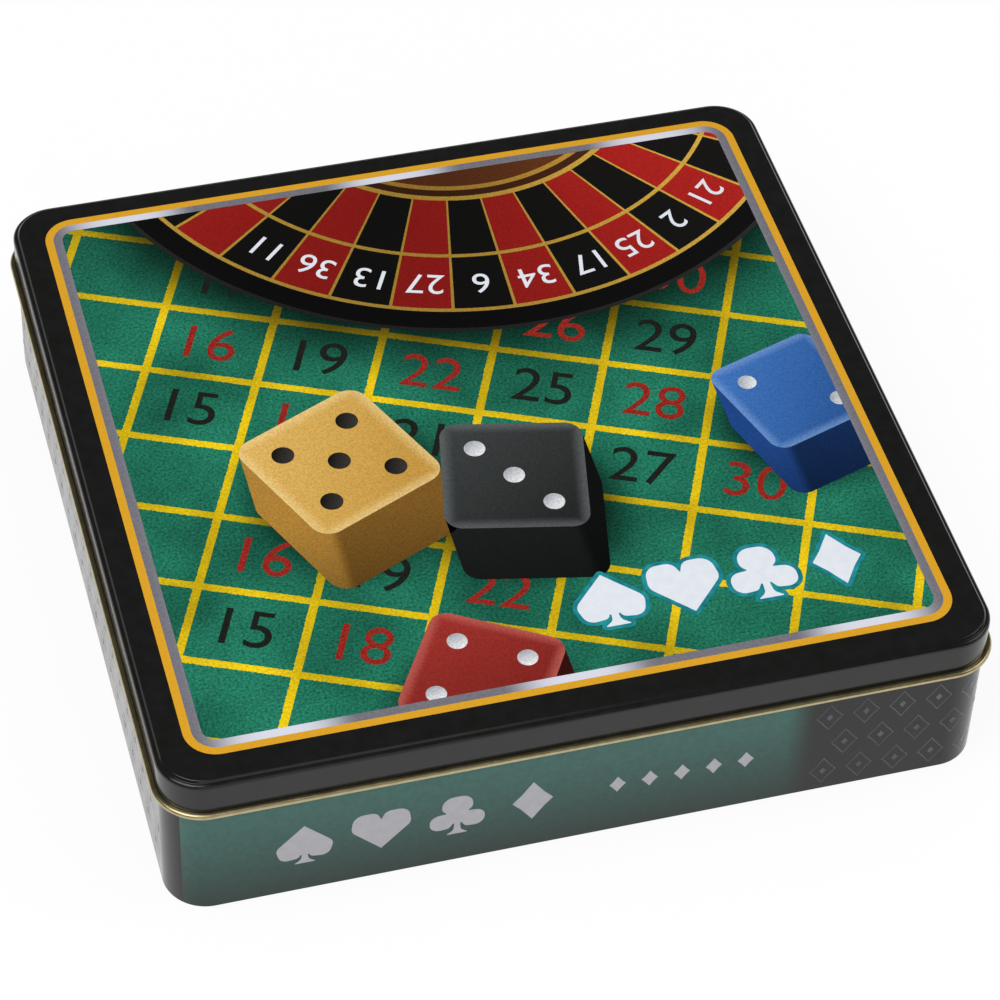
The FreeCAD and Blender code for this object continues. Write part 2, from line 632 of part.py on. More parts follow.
def turret():
    """Turned spinner that caps the hub, with four arms and round knobs."""
    waist_top = TURRET_TOP - TURRET_HEAD_HEIGHT
    foot_top = TURRET_BASE + TURRET_FOOT_HEIGHT
    points = [
        point(0, TURRET_BASE),
        point(TURRET_FOOT_RADIUS, TURRET_BASE),
        point(TURRET_FOOT_RADIUS, foot_top),
        point(TURRET_WAIST_RADIUS, foot_top),
        point(TURRET_WAIST_RADIUS, waist_top),
        point(TURRET_HEAD_RADIUS, waist_top),
        point(TURRET_HEAD_RADIUS, TURRET_TOP),
        point(0, TURRET_TOP),
    ]
    rounds = [0, TURRET_FOOT_ROUND, TURRET_NECK_ROUND, TURRET_NECK_ROUND, 0, TURRET_CROWN_ROUND]
    body = turned(closed_section(points, rounds))
    arm_height = (foot_top + waist_top) / 2
    pieces = [body]
    for index in range(TURRET_ARM_COUNT):
        angle = index * FULL_TURN / TURRET_ARM_COUNT
        start = FreeCAD.Vector(0, 0, arm_height)
        arm = Part.makeCylinder(TURRET_ARM_RADIUS, TURRET_ARM_REACH, start, FreeCAD.Vector(1, 0, 0))
        knob = Part.makeSphere(TURRET_KNOB_RADIUS, FreeCAD.Vector(TURRET_ARM_REACH, 0, arm_height))
        for piece in (arm, knob):
            piece.rotate(ORIGIN, UP, angle)
            pieces.append(piece)
    bore_depth = SPINDLE_TOP - TURRET_BASE + TURRET_BORE_AIR
    bore = cylinder(SPINDLE_RADIUS + TURRET_BORE_AIR, bore_depth, 0, 0, TURRET_BASE)
    return on_floor(joined(pieces).cut(bore))


def ball():
    """Ball that lies on the track at the front."""
    height = TRACK_HEIGHT + BALL_RADIUS + BALL_AIR
    return on_floor(Part.makeSphere(BALL_RADIUS, FreeCAD.Vector(0, -BALL_RING_RADIUS, height)))


def shot_glass(x, y):
    """Tapered glass with a thick base, standing on the tin's floor in its hole of the tray."""
    inner_base_radius = GLASS_BASE_RADIUS + GLASS_TAPER * GLASS_BASE - GLASS_WALL
    points = [
        point(0, 0),
        point(GLASS_BASE_RADIUS, 0),
        point(GLASS_TOP_RADIUS, GLASS_HEIGHT),
        point(GLASS_TOP_RADIUS - GLASS_WALL, GLASS_HEIGHT),
        point(inner_base_radius, GLASS_BASE),
        point(0, GLASS_BASE),
    ]
    rounds = [GLASS_FOOT_ROUND, GLASS_RIM_ROUND, GLASS_RIM_ROUND, GLASS_INNER_ROUND]
    glass = turned(closed_section(points, rounds))
    glass.translate(FreeCAD.Vector(x, y, 0))
    return on_floor(glass)


def chip():
    """One chip: bevelled edge and a shallow round recess in both faces."""
    top = CHIP_THICKNESS
    points = [
        point(0, CHIP_RECESS_DEPTH),
        point(CHIP_RECESS_RADIUS, CHIP_RECESS_DEPTH),
        point(CHIP_RECESS_RADIUS, 0),
        point(CHIP_RADIUS - CHIP_BEVEL, 0),
        point(CHIP_RADIUS, CHIP_BEVEL),
        point(CHIP_RADIUS, top - CHIP_BEVEL),
        point(CHIP_RADIUS - CHIP_BEVEL, top),
        point(CHIP_RECESS_RADIUS, top),
        point(CHIP_RECESS_RADIUS, top - CHIP_RECESS_DEPTH),
        point(0, top - CHIP_RECESS_DEPTH),
    ]
    return turned(closed_section(points, [0] * 8))


def chip_stack(x, y):
    """A stack of chips, each a solid of its own."""
    pattern = chip()
    chips = []
    for index in range(CHIPS_PER_STACK):
        copy = pattern.copy()
        copy.translate(FreeCAD.Vector(x, y, FLOOR_HEIGHT + index * CHIP_PITCH))
        chips.append(copy)
    return Part.makeCompound(chips)


def rake_handle():
    """Turned rod with a tenon at one end and a rounded butt at the other."""
    whole = HANDLE_LENGTH + HANDLE_TENON_LENGTH
    points = [
        point(0, 0),
        point(HANDLE_RADIUS, 0),
        point(HANDLE_RADIUS, HANDLE_LENGTH),
        point(HANDLE_TENON_RADIUS, HANDLE_LENGTH),
        point(HANDLE_TENON_RADIUS, whole),
        point(0, whole),
    ]
    rod = turned(closed_section(points, [HANDLE_END_ROUND, 0, 0, 0]))
    rod.rotate(ORIGIN, FreeCAD.Vector(0, 1, 0), RIGHT_ANGLE)
    rod.translate(FreeCAD.Vector(-whole / 2, SLOT_Y, HANDLE_AXIS_HEIGHT))
    return rod


def rake_head():
    """Blade with rounded corners and a socket boss for the handle."""
    corner = FreeCAD.Vector(RAKE_BACK_X, RAKE_CENTRE_Y - RAKE_BLADE_LENGTH / 2, RAKE_BASE)
    blade = Part.makeBox(RAKE_BLADE_THICKNESS, RAKE_BLADE_LENGTH, RAKE_BLADE_HEIGHT, corner)
    across = [edge for edge in blade.Edges if abs(edge.tangentAt(edge.FirstParameter).x) > 1 - TINY]
    blade = blade.makeFillet(RAKE_BLADE_CORNER, across)
    along = FreeCAD.Vector(1, 0, 0)
    root = FreeCAD.Vector(RAKE_BACK_X, RAKE_CENTRE_Y, RAKE_BOSS_HEIGHT)
    boss_reach = RAKE_BLADE_THICKNESS + RAKE_BOSS_LENGTH
    boss = Part.makeCylinder(RAKE_BOSS_RADIUS, boss_reach, root, along)
    mouth = FreeCAD.Vector(RAKE_BACK_X + boss_reach - RAKE_SOCKET_DEPTH, RAKE_CENTRE_Y, RAKE_BOSS_HEIGHT)
    socket = Part.makeCylinder(HANDLE_TENON_RADIUS + RAKE_SOCKET_CLEARANCE, RAKE_SOCKET_DEPTH, mouth, along)
    return joined([blade, boss]).cut(socket)


def all_pieces():
    """Every piece of the game under its node's name."""
    pieces = {
        "lid": lid(),
        "tin_wall": tin_wall(),
        "tin_bottom": tin_bottom(),
        "insert": insert(),
        "game_mat": game_mat(),
        "wheel_bowl": wheel_bowl(),
        "spindle": spindle(),
        "washer": washer(),
        "rotor": rotor(),
        "fret_ring": fret_ring(),
        "number_ring": number_ring(),
        "turret": turret(),
        "ball": ball(),
        "rake_handle": rake_handle(),
        "rake_head": rake_head(),
    }
    for index, (x, y) in enumerate(glass_places(), start=1):
        pieces[f"shot_glass_{index:02d}"] = shot_glass(x, y)
    for colour, (x, y) in zip(CHIP_COLOURS, chip_places()):
        pieces[f"chips_{colour}"] = chip_stack(x, y)
    return pieces


os.makedirs("parts", exist_ok=True)
for name, shape in all_pieces().items():
    shape.exportStep(f"parts/{name}.step")
    box = shape.BoundBox
    print(f"{name}: {len(shape.Solids)} solids, valid {shape.isValid()}, {shape.Volume:.0f} mm3,"
          f" z {box.ZMin:.2f} to {box.ZMax:.2f}, x {box.XMin:.2f} to {box.XMax:.2f}")
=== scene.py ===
"""Looks of a drinking roulette game in a square tin, dressed round its packed construction.

Lengths are metres, as in the frame, and are written as millimetres times MM. Flat prints are drawn in
millimetres on the plane of the panel or wall that carries them. The front of the tin faces -Y.
"""

import json
import logging
import math
from dataclasses import dataclass, field
from enum import Enum, IntEnum

import bmesh
import bpy
import numpy as np
from mathutils import Matrix, Vector

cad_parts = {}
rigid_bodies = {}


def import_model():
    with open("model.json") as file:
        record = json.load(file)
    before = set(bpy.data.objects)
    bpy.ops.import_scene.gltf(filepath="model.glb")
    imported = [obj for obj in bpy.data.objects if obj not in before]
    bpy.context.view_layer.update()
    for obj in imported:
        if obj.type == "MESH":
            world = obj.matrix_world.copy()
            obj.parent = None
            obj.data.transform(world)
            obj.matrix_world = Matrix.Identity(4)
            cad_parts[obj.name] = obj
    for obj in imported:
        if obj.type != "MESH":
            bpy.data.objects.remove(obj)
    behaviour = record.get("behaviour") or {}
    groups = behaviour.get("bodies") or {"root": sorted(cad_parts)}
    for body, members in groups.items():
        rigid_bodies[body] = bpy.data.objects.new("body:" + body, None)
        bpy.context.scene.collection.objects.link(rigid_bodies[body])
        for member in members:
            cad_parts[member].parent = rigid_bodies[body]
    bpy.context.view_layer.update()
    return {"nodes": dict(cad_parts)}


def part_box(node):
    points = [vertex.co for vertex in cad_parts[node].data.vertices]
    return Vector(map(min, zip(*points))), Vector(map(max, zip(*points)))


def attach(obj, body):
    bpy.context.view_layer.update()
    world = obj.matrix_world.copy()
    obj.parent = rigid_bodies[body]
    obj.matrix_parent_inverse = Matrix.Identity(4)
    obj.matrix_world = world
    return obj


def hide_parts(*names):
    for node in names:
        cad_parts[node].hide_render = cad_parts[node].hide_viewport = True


MM = 0.001
# One coat of ink in millimetres, drawn thick enough to keep the coats apart
LAYER = 0.015
# The numbers of a wheel with one zero, clockwise
WHEEL_ORDER = (0, 32, 15, 19, 4, 21, 2, 25, 17, 34, 6, 27, 13, 36, 11, 30, 8, 23, 10, 5,
               24, 16, 33, 1, 20, 14, 31, 9, 22, 18, 29, 7, 28, 12, 35, 3, 26)
FULL_TURN = 2 * math.pi
QUARTER_TURN = math.pi / 2
SECTOR = FULL_TURN / len(WHEEL_ORDER)
CORNER_SIGNS = np.array([(1, 1), (-1, 1), (-1, -1), (1, -1)])
MERGE_DISTANCE = 1e-7
VARNISH_IOR = 1.42
# Most of a noise lies between these values
NOISE_RANGE = (0.32, 0.68)
SMUDGE_RANGE = (0.3, 0.7)
FINGERTIP = 14 * MM
LEAST_ROUGHNESS = 0.02
FINE_DETAIL = 2.0
PLAIN_DETAIL = 3.0
SMUDGE_DETAIL = 4.0

log = logging.getLogger("roulette_tin")

Outline = np.ndarray
Points = np.ndarray
Faces = list[tuple[int, ...]]
Layer = tuple[Points, Faces]
Piece = bpy.types.Object
Tree = bpy.types.NodeTree
Socket = bpy.types.NodeSocket
Places = dict[str, Socket]
Span = tuple[float, float]


# Nodes and colours

def linear(tint: str) -> tuple[float, ...]:
    """Turns an sRGB hex value to linear light: a straight foot, then a power of 2.4.

    Args:
        tint: the colour as #rrggbb.

    Returns:
        Red, green, blue and alpha in linear light.
    """
    channels = np.array([int(tint[start:start + 2], 16) for start in (1, 3, 5)]) / 255
    light = np.where(channels <= 0.04045, channels / 12.92, ((channels + 0.055) / 1.055) ** 2.4)
    return (*light.tolist(), 1.0)


def add(tree: Tree, kind: str, inputs: dict | None = None, **settings: object) -> Socket | None:
    """Adds one node.

    Args:
        tree: the node tree that gets it.
        kind: the node's type name without its first word.
        inputs: a socket, a hex colour or a value for inputs in use, by their names or numbers.
        settings: its properties. A ramp's stops are its places and colours, and its bands don't blend.

    Returns:
        The node's first output in use, if it has one.
    """
    node = tree.nodes.new("ShaderNode" + kind)
    for name, value in settings.items():
        if name in ("stops", "bands"):
            ramp = node.color_ramp
            ramp.interpolation = "LINEAR" if name == "stops" else "CONSTANT"
            first, *middle, last = value
            for element, (place, tint) in zip(ramp.elements, (first, last)):
                element.position = place
                element.color = linear(tint)
            for place, tint in middle:
                ramp.elements.new(place).color = linear(tint)
        else:
            setattr(node, name, value)
    used = [socket for socket in node.inputs if socket.enabled]
    names = {socket.name: socket for socket in used}
    for key, value in (inputs or {}).items():
        socket = used[key] if isinstance(key, int) else names[key]
        if isinstance(value, Socket):
            tree.links.new(value, socket)
        else:
            socket.default_value = linear(value) if isinstance(value, str) else value
    return next((socket for socket in node.outputs if socket.enabled), None)


def mottle(tree: Tree, place: Socket, grain: float, dark: str, light: str = "#ffffff") -> Socket:
    """Works out a noise between two tones.

    Args:
        tree: the material's node tree.
        place: the coordinates that the noise reads, in metres.
        grain: the size of one patch.
        dark: the tone of the noise's low parts.
        light: the tone of its high parts.

    Returns:
        The socket that gives the colour.
    """
    noise = add(tree, "TexNoise", {"Vector": place, "Scale": 1 / grain, "Detail": PLAIN_DETAIL})
    return add(tree, "ValToRGB", {"Fac": noise}, stops=tuple(zip(NOISE_RANGE, (dark, light))))


def dimmed(tree: Tree, colour: Socket, *factors: Socket) -> Socket:
    """Multiplies a colour by each factor in turn.

    Args:
        tree: the material's node tree.
        colour: the colour.
        factors: the factors.

    Returns:
        The socket that gives the product.
    """
    for factor in factors:
        colour = add(tree, "Mix", {"Factor": 1.0, "A": colour, "B": factor}, data_type="RGBA",
                     blend_type="MULTIPLY")
    return colour


# Finishes

@dataclass(frozen=True)
class Finish:
    """A surface whose colour wanders between two tones on a noise of its own grain.

    Its roughness wanders by the smudge on a noise as coarse as a fingertip, and its relief is a bump
    of that height on a noise of the relief's grain.
    """

    name: str
    light: str
    dark: str
    roughness: float
    grain: float
    smudge: float = 0.03
    metallic: float = 0.0
    ior: float = 1.5
    relief: float = 0.0
    relief_grain: float = 0.4 * MM
    sheen: float = 0.0
    transmission: float = 0.0

    def make(self) -> bpy.types.Material:
        """Makes the material, or finds it if it is made.

        Returns:
            The material.
        """
        known = bpy.data.materials.get(self.name)
        if known:
            return known
        material = bpy.data.materials.new(self.name)
        material.use_nodes = True
        tree = material.node_tree
        shader = tree.nodes["Principled BSDF"].inputs
        shader["Metallic"].default_value = self.metallic
        shader["IOR"].default_value = self.ior
        shader["Sheen Weight"].default_value = self.sheen
        shader["Transmission Weight"].default_value = self.transmission
        places = dict(add(tree, "TexCoord").node.outputs.items())
        tree.links.new(self.paint(tree, places), shader["Base Color"])
        place = places["Object"]
        smudges = add(tree, "TexNoise", {"Vector": place, "Scale": 1 / FINGERTIP, "Detail": SMUDGE_DETAIL})
        low = max(self.roughness - self.smudge, LEAST_ROUGHNESS)
        least, most = SMUDGE_RANGE
        gloss = add(tree, "MapRange", {"Value": smudges, "From Min": least, "From Max": most,
                                       "To Min": low, "To Max": self.roughness + self.smudge})
        tree.links.new(gloss, shader["Roughness"])
        if self.relief:
            height = add(tree, "TexNoise", {"Vector": place, "Scale": 1 / self.relief_grain,
                                            "Detail": FINE_DETAIL})
            tree.links.new(add(tree, "Bump", {"Distance": self.relief, "Height": height}), shader["Normal"])
        return material

    def paint(self, tree: Tree, places: Places) -> Socket:
        """Works out the colour.

        Args:
            tree: the material's node tree.
            places: object coordinates and the piece's own UV map, by name.

        Returns:
            The socket that gives the colour.
        """
        return mottle(tree, places["Object"], self.grain, self.dark, self.light)


@dataclass(frozen=True)
class Ink(Finish):
    """Offset ink under the varnish that covers the whole print. Inks of pictures have darker specks."""

    roughness: float = 0.18
    grain: float = 0.9 * MM
    ior: float = VARNISH_IOR
    speck: str = "#dcdcdc"


@dataclass(frozen=True)
class LinedFelt(Finish):
    """Felt with betting lines at even steps from the first ones, along both axes of its UV map.

    The lines may be turned. The fibres let the paint end unevenly, by up to the fuzz.
    """

    line: str = "#d9bb1f"
    worn_line: str = "#b39a1a"
    cell: Span = (75 * MM, 60 * MM)
    first: Span = (0.0, 0.0)
    width: float = 3 * MM
    turn: float = 0.0
    fuzz: float = 1.0 * MM

    def paint(self, tree: Tree, places: Places) -> Socket:
        """Prints the places that lie within half a line's width of a whole number of steps.

        Args:
            tree: the material's node tree.
            places: the UV map gives the place on the flat cloth, in metres.

        Returns:
            The socket that gives the colour.
        """
        flat = places["UV"]
        felt = mottle(tree, flat, self.grain, self.dark, self.light)
        paint = mottle(tree, flat, self.grain, self.worn_line, self.line)
        fibres = add(tree, "TexNoise", {"Vector": flat, "Scale": 1 / self.grain, "Detail": FINE_DETAIL})
        moved = add(tree, "VectorMath", {0: fibres.node.outputs["Color"], 1: (self.fuzz,) * 3, 2: flat},
                    operation="MULTIPLY_ADD")
        along = add(tree, "Mapping", {"Vector": moved, "Rotation": (0.0, 0.0, -self.turn),
                                      "Location": (-self.first[0], -self.first[1], 0.0)})
        parts = add(tree, "SeparateXYZ", {0: along}).node.outputs
        lines = []
        for axis, step in enumerate(self.cell):
            away = add(tree, "Math", {0: parts[axis], 1: step / 2}, operation="PINGPONG")
            lines.append(add(tree, "Math", {0: away, 1: self.width / 2}, operation="LESS_THAN"))
        either = add(tree, "Math", {0: lines[0], 1: lines[1]}, operation="MAXIMUM")
        return add(tree, "Mix", {"Factor": either, "A": felt, "B": paint}, data_type="RGBA")


@dataclass(frozen=True)
class PrintedFelt(LinedFelt):
    """A printed picture of lined baize: broad patches, and shade where things stand on it.

    A shade has a place, a radius of full depth and a radius where it ends.
    """

    patch: float = 45 * MM
    patch_tone: str = "#b4b4b4"
    shades: tuple[tuple[float, ...], ...] = ()
    shade_level: float = 0.12

    def paint(self, tree: Tree, places: Places) -> Socket:
        """Multiplies the lined felt by the patches and by one soft shade per standing thing.

        Args:
            tree: the material's node tree.
            places: the UV map gives the place on the print, in metres.

        Returns:
            The socket that gives the colour.
        """
        factors = [mottle(tree, places["UV"], self.patch, self.patch_tone)]
        for x, y, inner, outer in self.shades:
            away = add(tree, "VectorMath", {0: places["UV"], 1: (x, y, 0.0)}, operation="DISTANCE")
            soft = add(tree, "MapRange", {"Value": away, "From Min": inner, "From Max": outer,
                                          "To Min": self.shade_level}, interpolation_type="SMOOTHSTEP")
            factors.append(soft)
        return dimmed(tree, super().paint(tree, places), *factors)


@dataclass(frozen=True)
class GrainedWood(Finish):
    """Wood whose grain runs along the x axis: a noise that is drawn out along it."""

    grain_length: float = 70 * MM

    def paint(self, tree: Tree, places: Places) -> Socket:
        """Scales the place less along the grain than across it, and lays a noise between the tones.

        Args:
            tree: the material's node tree.
            places: object coordinates give the place in the wood.

        Returns:
            The socket that gives the colour.
        """
        scales = (1 / self.grain_length, 1 / self.grain, 1 / self.grain)
        drawn = add(tree, "Mapping", {"Vector": places["Object"], "Scale": scales})
        return mottle(tree, drawn, 1.0, self.dark, self.light)


@dataclass(frozen=True)
class StreakedLine(Ink):
    """A printed line of metal colour with painted gleams at even steps along x, the middle among them:
    painted highlights stand in for the metal ink's reflection.
    """

    mid: str = "#74727a"
    gleam_step: float = 117 * MM
    gleam_from: float = -0.1

    def paint(self, tree: Tree, places: Places) -> Socket:
        """Blends from the dull tone to the bright tone of the painted highlight at the crests of a wave.

        Args:
            tree: the material's node tree.
            places: the UV map gives the place on the print, in metres.

        Returns:
            The socket that gives the colour.
        """
        along = add(tree, "SeparateXYZ", {0: places["UV"]})
        phase = add(tree, "Math", {0: along, 1: FULL_TURN / self.gleam_step}, operation="MULTIPLY")
        wave = add(tree, "Math", {0: phase}, operation="COSINE")
        gleam = add(tree, "MapRange", {"Value": wave, "From Min": self.gleam_from},
                    interpolation_type="SMOOTHSTEP")
        dull = mottle(tree, places["Object"], self.grain, self.dark, self.mid)
        # Painted highlight: the bright tone is blended in where the wave crests
        return add(tree, "Mix", {"Factor": gleam, "A": dull, "B": self.light}, data_type="RGBA")


@dataclass(frozen=True)
class WheelColours(Ink):
    """Red and black sectors with one green, parted by thin lines, between plain rings.

    The UV map gives the place from the wheel's centre as a share of its radius. The first sector starts
    the lead, in sectors, before the angle 0. Sectors show where their bands are white.
    """

    speck: str = "#d8d8d8"
    red: str = "#b3211c"
    black: str = "#141312"
    green: str = "#1d6b45"
    line: str = "#d9ad45"
    line_share: float = 0.05
    rings: tuple[tuple[float, str], ...] = ()
    sector_bands: tuple[tuple[float, str], ...] = ()
    lead: float = 0.5
    gleam: float = 0.0
    gleam_angle: float = 0.9

    def paint(self, tree: Tree, places: Places) -> Socket:
        """Counts the sectors clockwise by the angle, and lays them into the bands that the radius gives.

        The gleam is a wave that goes twice round the wheel.

        Args:
            tree: the material's node tree.
            places: the UV map gives the place from the centre, as a share of the radius.

        Returns:
            The socket that gives the colour.
        """
        parts = add(tree, "SeparateXYZ", {0: places["UV"]}).node.outputs
        radius = add(tree, "VectorMath", {0: places["UV"]}, operation="LENGTH")
        angle = add(tree, "Math", {0: parts[1], 1: parts[0]}, operation="ARCTAN2")
        way = add(tree, "Math", {0: angle, 1: -1 / SECTOR, 2: self.lead}, operation="MULTIPLY_ADD")
        turn = add(tree, "Math", {0: way, 1: len(WHEEL_ORDER)}, operation="FLOORED_MODULO")
        count = add(tree, "Math", {0: turn}, operation="FLOOR")
        share = add(tree, "Math", {0: turn}, operation="FRACT")
        odd = add(tree, "Math", {0: count, 1: 2}, operation="FLOORED_MODULO")
        zero = add(tree, "Math", {0: turn, 1: 1}, operation="LESS_THAN")
        edge = add(tree, "Math", {0: share, 1: self.line_share}, operation="LESS_THAN")
        ring = add(tree, "ValToRGB", {0: radius}, bands=self.rings)
        band = add(tree, "ValToRGB", {0: radius}, bands=self.sector_bands)
        colour = add(tree, "Mix", {"Factor": odd, "A": self.black, "B": self.red}, data_type="RGBA")
        for factor, tint in ((zero, self.green), (edge, self.line)):
            colour = add(tree, "Mix", {"Factor": factor, "A": colour, "B": tint}, data_type="RGBA")
        whole = add(tree, "Mix", {"Factor": band, "A": ring, "B": colour}, data_type="RGBA")
        double = add(tree, "Math", {0: angle, 1: 2, 2: self.gleam_angle}, operation="MULTIPLY_ADD")
        wave = add(tree, "Math", {0: double}, operation="COSINE")
        shine = add(tree, "MapRange", {"Value": wave, "From Min": -1, "To Min": 1 - self.gleam})
        return dimmed(tree, whole, shine, mottle(tree, places["Object"], self.grain, self.speck))


@dataclass(frozen=True)
class FadedInk(Ink):
    """Ink that starts at a line along the wall, fades to black further on, and darkens to the wall's foot.

    The print comes again after the given way along the wall.
    """

    speck: str = "#e6e6e6"
    repeat: float = 1.0
    first: float = -160 * MM
    fade_start: float = 78 * MM
    fade_end: float = 92 * MM
    foot: str = "#08261f"
    height: float = 54 * MM

    def paint(self, tree: Tree, places: Places) -> Socket:
        """Fades the lit tone to the foot's tone by height, and that to the dark tone along the wall.

        Args:
            tree: the material's node tree.
            places: the UV map gives the way along the wall from the middle of the front, and the height.

        Returns:
            The socket that gives the colour.
        """
        parts = add(tree, "SeparateXYZ", {0: places["UV"]}).node.outputs
        along = add(tree, "Math", {0: parts[0], 1: self.repeat / 2, 2: -self.repeat / 2}, operation="WRAP")
        before = add(tree, "Math", {0: along, 1: self.first}, operation="LESS_THAN")
        after = add(tree, "MapRange", {"Value": along, "From Min": self.fade_start,
                                       "From Max": self.fade_end}, interpolation_type="SMOOTHSTEP")
        unlit = add(tree, "Math", {0: before, 1: after}, operation="MAXIMUM")
        rise = add(tree, "MapRange", {"Value": parts[1], "From Max": self.height})
        tall = add(tree, "Mix", {"Factor": rise, "A": self.foot, "B": self.light}, data_type="RGBA")
        faded = add(tree, "Mix", {"Factor": unlit, "A": tall, "B": self.dark}, data_type="RGBA")
        return dimmed(tree, faded, mottle(tree, places["Object"], self.grain, self.speck))


@dataclass(frozen=True)
class LitFace(Ink):
    """A printed square face that is lit from its upper left, with round edges that catch the light.

    The UV map gives the place from the face's centre along its own sides, as a share of its half width.
    """

    edge: str = "#ffffff"
    lit_way: tuple[float, float, float] = (-0.5, 0.5, 0.0)
    lit_range: Span = (-0.9, 0.8)
    rim_start: float = 0.8
    rim_strength: float = 0.55

    def paint(self, tree: Tree, places: Places) -> Socket:
        """Ramps the way to the light from the dark tone to the light one, and blends the edge's tone in.

        Args:
            tree: the material's node tree.
            places: the UV map gives the place on the face.

        Returns:
            The socket that gives the colour.
        """
        towards = add(tree, "VectorMath", {0: places["UV"], 1: self.lit_way}, operation="DOT_PRODUCT")
        dark_end, light_end = self.lit_range
        share = add(tree, "MapRange", {"Value": towards, "From Min": dark_end, "From Max": light_end})
        face = add(tree, "ValToRGB", {"Fac": share}, stops=((0.0, self.dark), (1.0, self.light)))
        sizes = add(tree, "VectorMath", {0: places["UV"]}, operation="ABSOLUTE")
        parts = add(tree, "SeparateXYZ", {0: sizes}).node.outputs
        outer = add(tree, "Math", {0: parts[0], 1: parts[1]}, operation="MAXIMUM")
        rim = add(tree, "MapRange", {"Value": outer, "From Min": self.rim_start, "To Max": self.rim_strength},
                  interpolation_type="SMOOTHSTEP")
        rounded = add(tree, "Mix", {"Factor": rim, "A": face, "B": self.edge}, data_type="RGBA")
        return dimmed(tree, rounded, mottle(tree, places["Object"], self.grain, self.speck))


@dataclass(frozen=True)
class TwoSides(Ink):
    """Two printed sides that meet at an upright edge, the left one lighter, both darker to the foot.

    The UV map gives the place from the edge's top, as a share of the sides' height.
    """

    edge_round: float = 0.1
    foot: float = -1.2
    full: float = 0.3
    foot_level: float = 0.45

    def paint(self, tree: Tree, places: Places) -> Socket:
        """Blends from the left side's tone to the right one's across the edge, and shades them by height.

        Args:
            tree: the material's node tree.
            places: the UV map gives the place on the sides.

        Returns:
            The socket that gives the colour.
        """
        parts = add(tree, "SeparateXYZ", {0: places["UV"]}).node.outputs
        past = add(tree, "MapRange", {"Value": parts[0], "From Min": -self.edge_round,
                                      "From Max": self.edge_round}, interpolation_type="SMOOTHSTEP")
        sides = add(tree, "Mix", {"Factor": past, "A": self.light, "B": self.dark}, data_type="RGBA")
        height = add(tree, "MapRange", {"Value": parts[1], "From Min": self.foot, "From Max": self.full,
                                        "To Min": self.foot_level})
        return dimmed(tree, sides, height, mottle(tree, places["Object"], self.grain, self.speck))


# Tinplate: roller-coated black lacquer under clear varnish gives deep gloss with a faint orange peel
BLACK_LACQUER = Finish("black_roller_lacquer", "#191818", "#131312", 0.16, 6 * MM, ior=VARNISH_IOR,
                       relief=0.004 * MM, relief_grain=1.6 * MM)
# Bare edge of the sheet under clear gold lacquer: a dull warm metal
GOLD_LACQUER = Finish("gold_lacquered_tinplate", "#c1b48c", "#b3a67e", 0.32, 3 * MM, metallic=1.0)
# Tinplate of the bottom, tinned and unprinted: cool grey metal with a faint bloom
BARE_TINPLATE = Finish("bare_tinplate", "#c6c6c3", "#bbbcba", 0.34, 14 * MM, metallic=1.0)
# Offset inks under the same varnish as the lacquer
GOLD_INK = Ink("gold_offset_ink", "#d39c25", "#ca9421")
# The silver line's gleams are painted highlights in its colour, standing in for reflections of the metal ink
SILVER_INK = StreakedLine("silver_offset_ink", "#ccceda", "#66646b")
RED_INK = Ink("red_offset_ink", "#a12a20", "#6e1812")
BLACK_INK = Ink("black_offset_ink", "#20211c", "#0f120f")
WHITE_INK = Ink("white_offset_ink", "#d9dde4", "#d3d7df", grain=4 * MM)
TEAL_INK = Ink("teal_offset_ink", "#1f8c93", "#156a74", grain=4 * MM)
GREY_INK = Ink("grey_offset_ink", "#a8a7ac", "#a1a0a6", grain=4 * MM)
DIM_INK = Ink("dim_grey_offset_ink", "#55565a", "#3c3d41", grain=9 * MM)
# Pips are printed as hollows: dark on the side that the light comes from
WHITE_PIP_INK = LitFace("white_pip_ink", "#9a9ea4", "#f4f5f7", edge="#c4c7cb")
BLACK_PIP_INK = LitFace("black_pip_ink", "#070707", "#3d3a35", edge="#14130f")
WHEEL_INK = WheelColours(
    "wheel_offset_ink", "#ffffff", "#d8d8d8", gleam=0.5,
    rings=((0.0, "#6b3a1c"), (0.46, "#c9983a"), (0.475, "#4a2716"), (0.50, "#d9ad45"), (0.515, "#141312"),
           (0.715, "#d9ad45"), (0.73, "#141312"), (0.915, "#d9ad45"), (0.928, "#0d0d0d"), (0.985, "#2c2b2a")),
    sector_bands=((0.0, "#000000"), (0.515, "#ffffff"), (0.715, "#000000"), (0.73, "#ffffff"),
                  (0.915, "#000000"), (0.99, "#000000")))
# Moulded and worked materials of the contents
BLACK_FOAM = Finish("black_polyethylene_foam", "#232324", "#141415", 0.9, 0.8 * MM, relief=0.25 * MM,
                    relief_grain=0.7 * MM)
BLACK_MOULDING = Finish("black_polystyrene", "#171717", "#101010", 0.22, 5 * MM, relief=0.01 * MM,
                        relief_grain=0.6 * MM)
BRIGHT_STEEL = Finish("ground_steel", "#c4c5c8", "#a6a7aa", 0.2, 2 * MM, metallic=1.0)
WHITE_NYLON = Finish("moulded_nylon", "#efece2", "#e2ded2", 0.4, 2 * MM)
# Vacuum-plated moulding of the rotor, satin, and the brighter plating of the metal parts on it
SATIN_GOLD = Finish("satin_gold_plating", "#e6bb50", "#dcae44", 0.3, 9 * MM, metallic=1.0)
PLATED_BRASS = Finish("bright_brass_plating", "#ecca74", "#d2a850", 0.16, 2.5 * MM, metallic=1.0)
BALL_STEEL = Finish("polished_ball_steel", "#dcdde0", "#c4c5c8", 0.06, 3 * MM, metallic=1.0)
# Beech under black lacquer, which lets the grain show as a slight change of tone and relief
BLACK_BEECH = GrainedWood("black_lacquered_beech", "#2a221c", "#120e0b", 0.3, 1.2 * MM, relief=0.02 * MM)
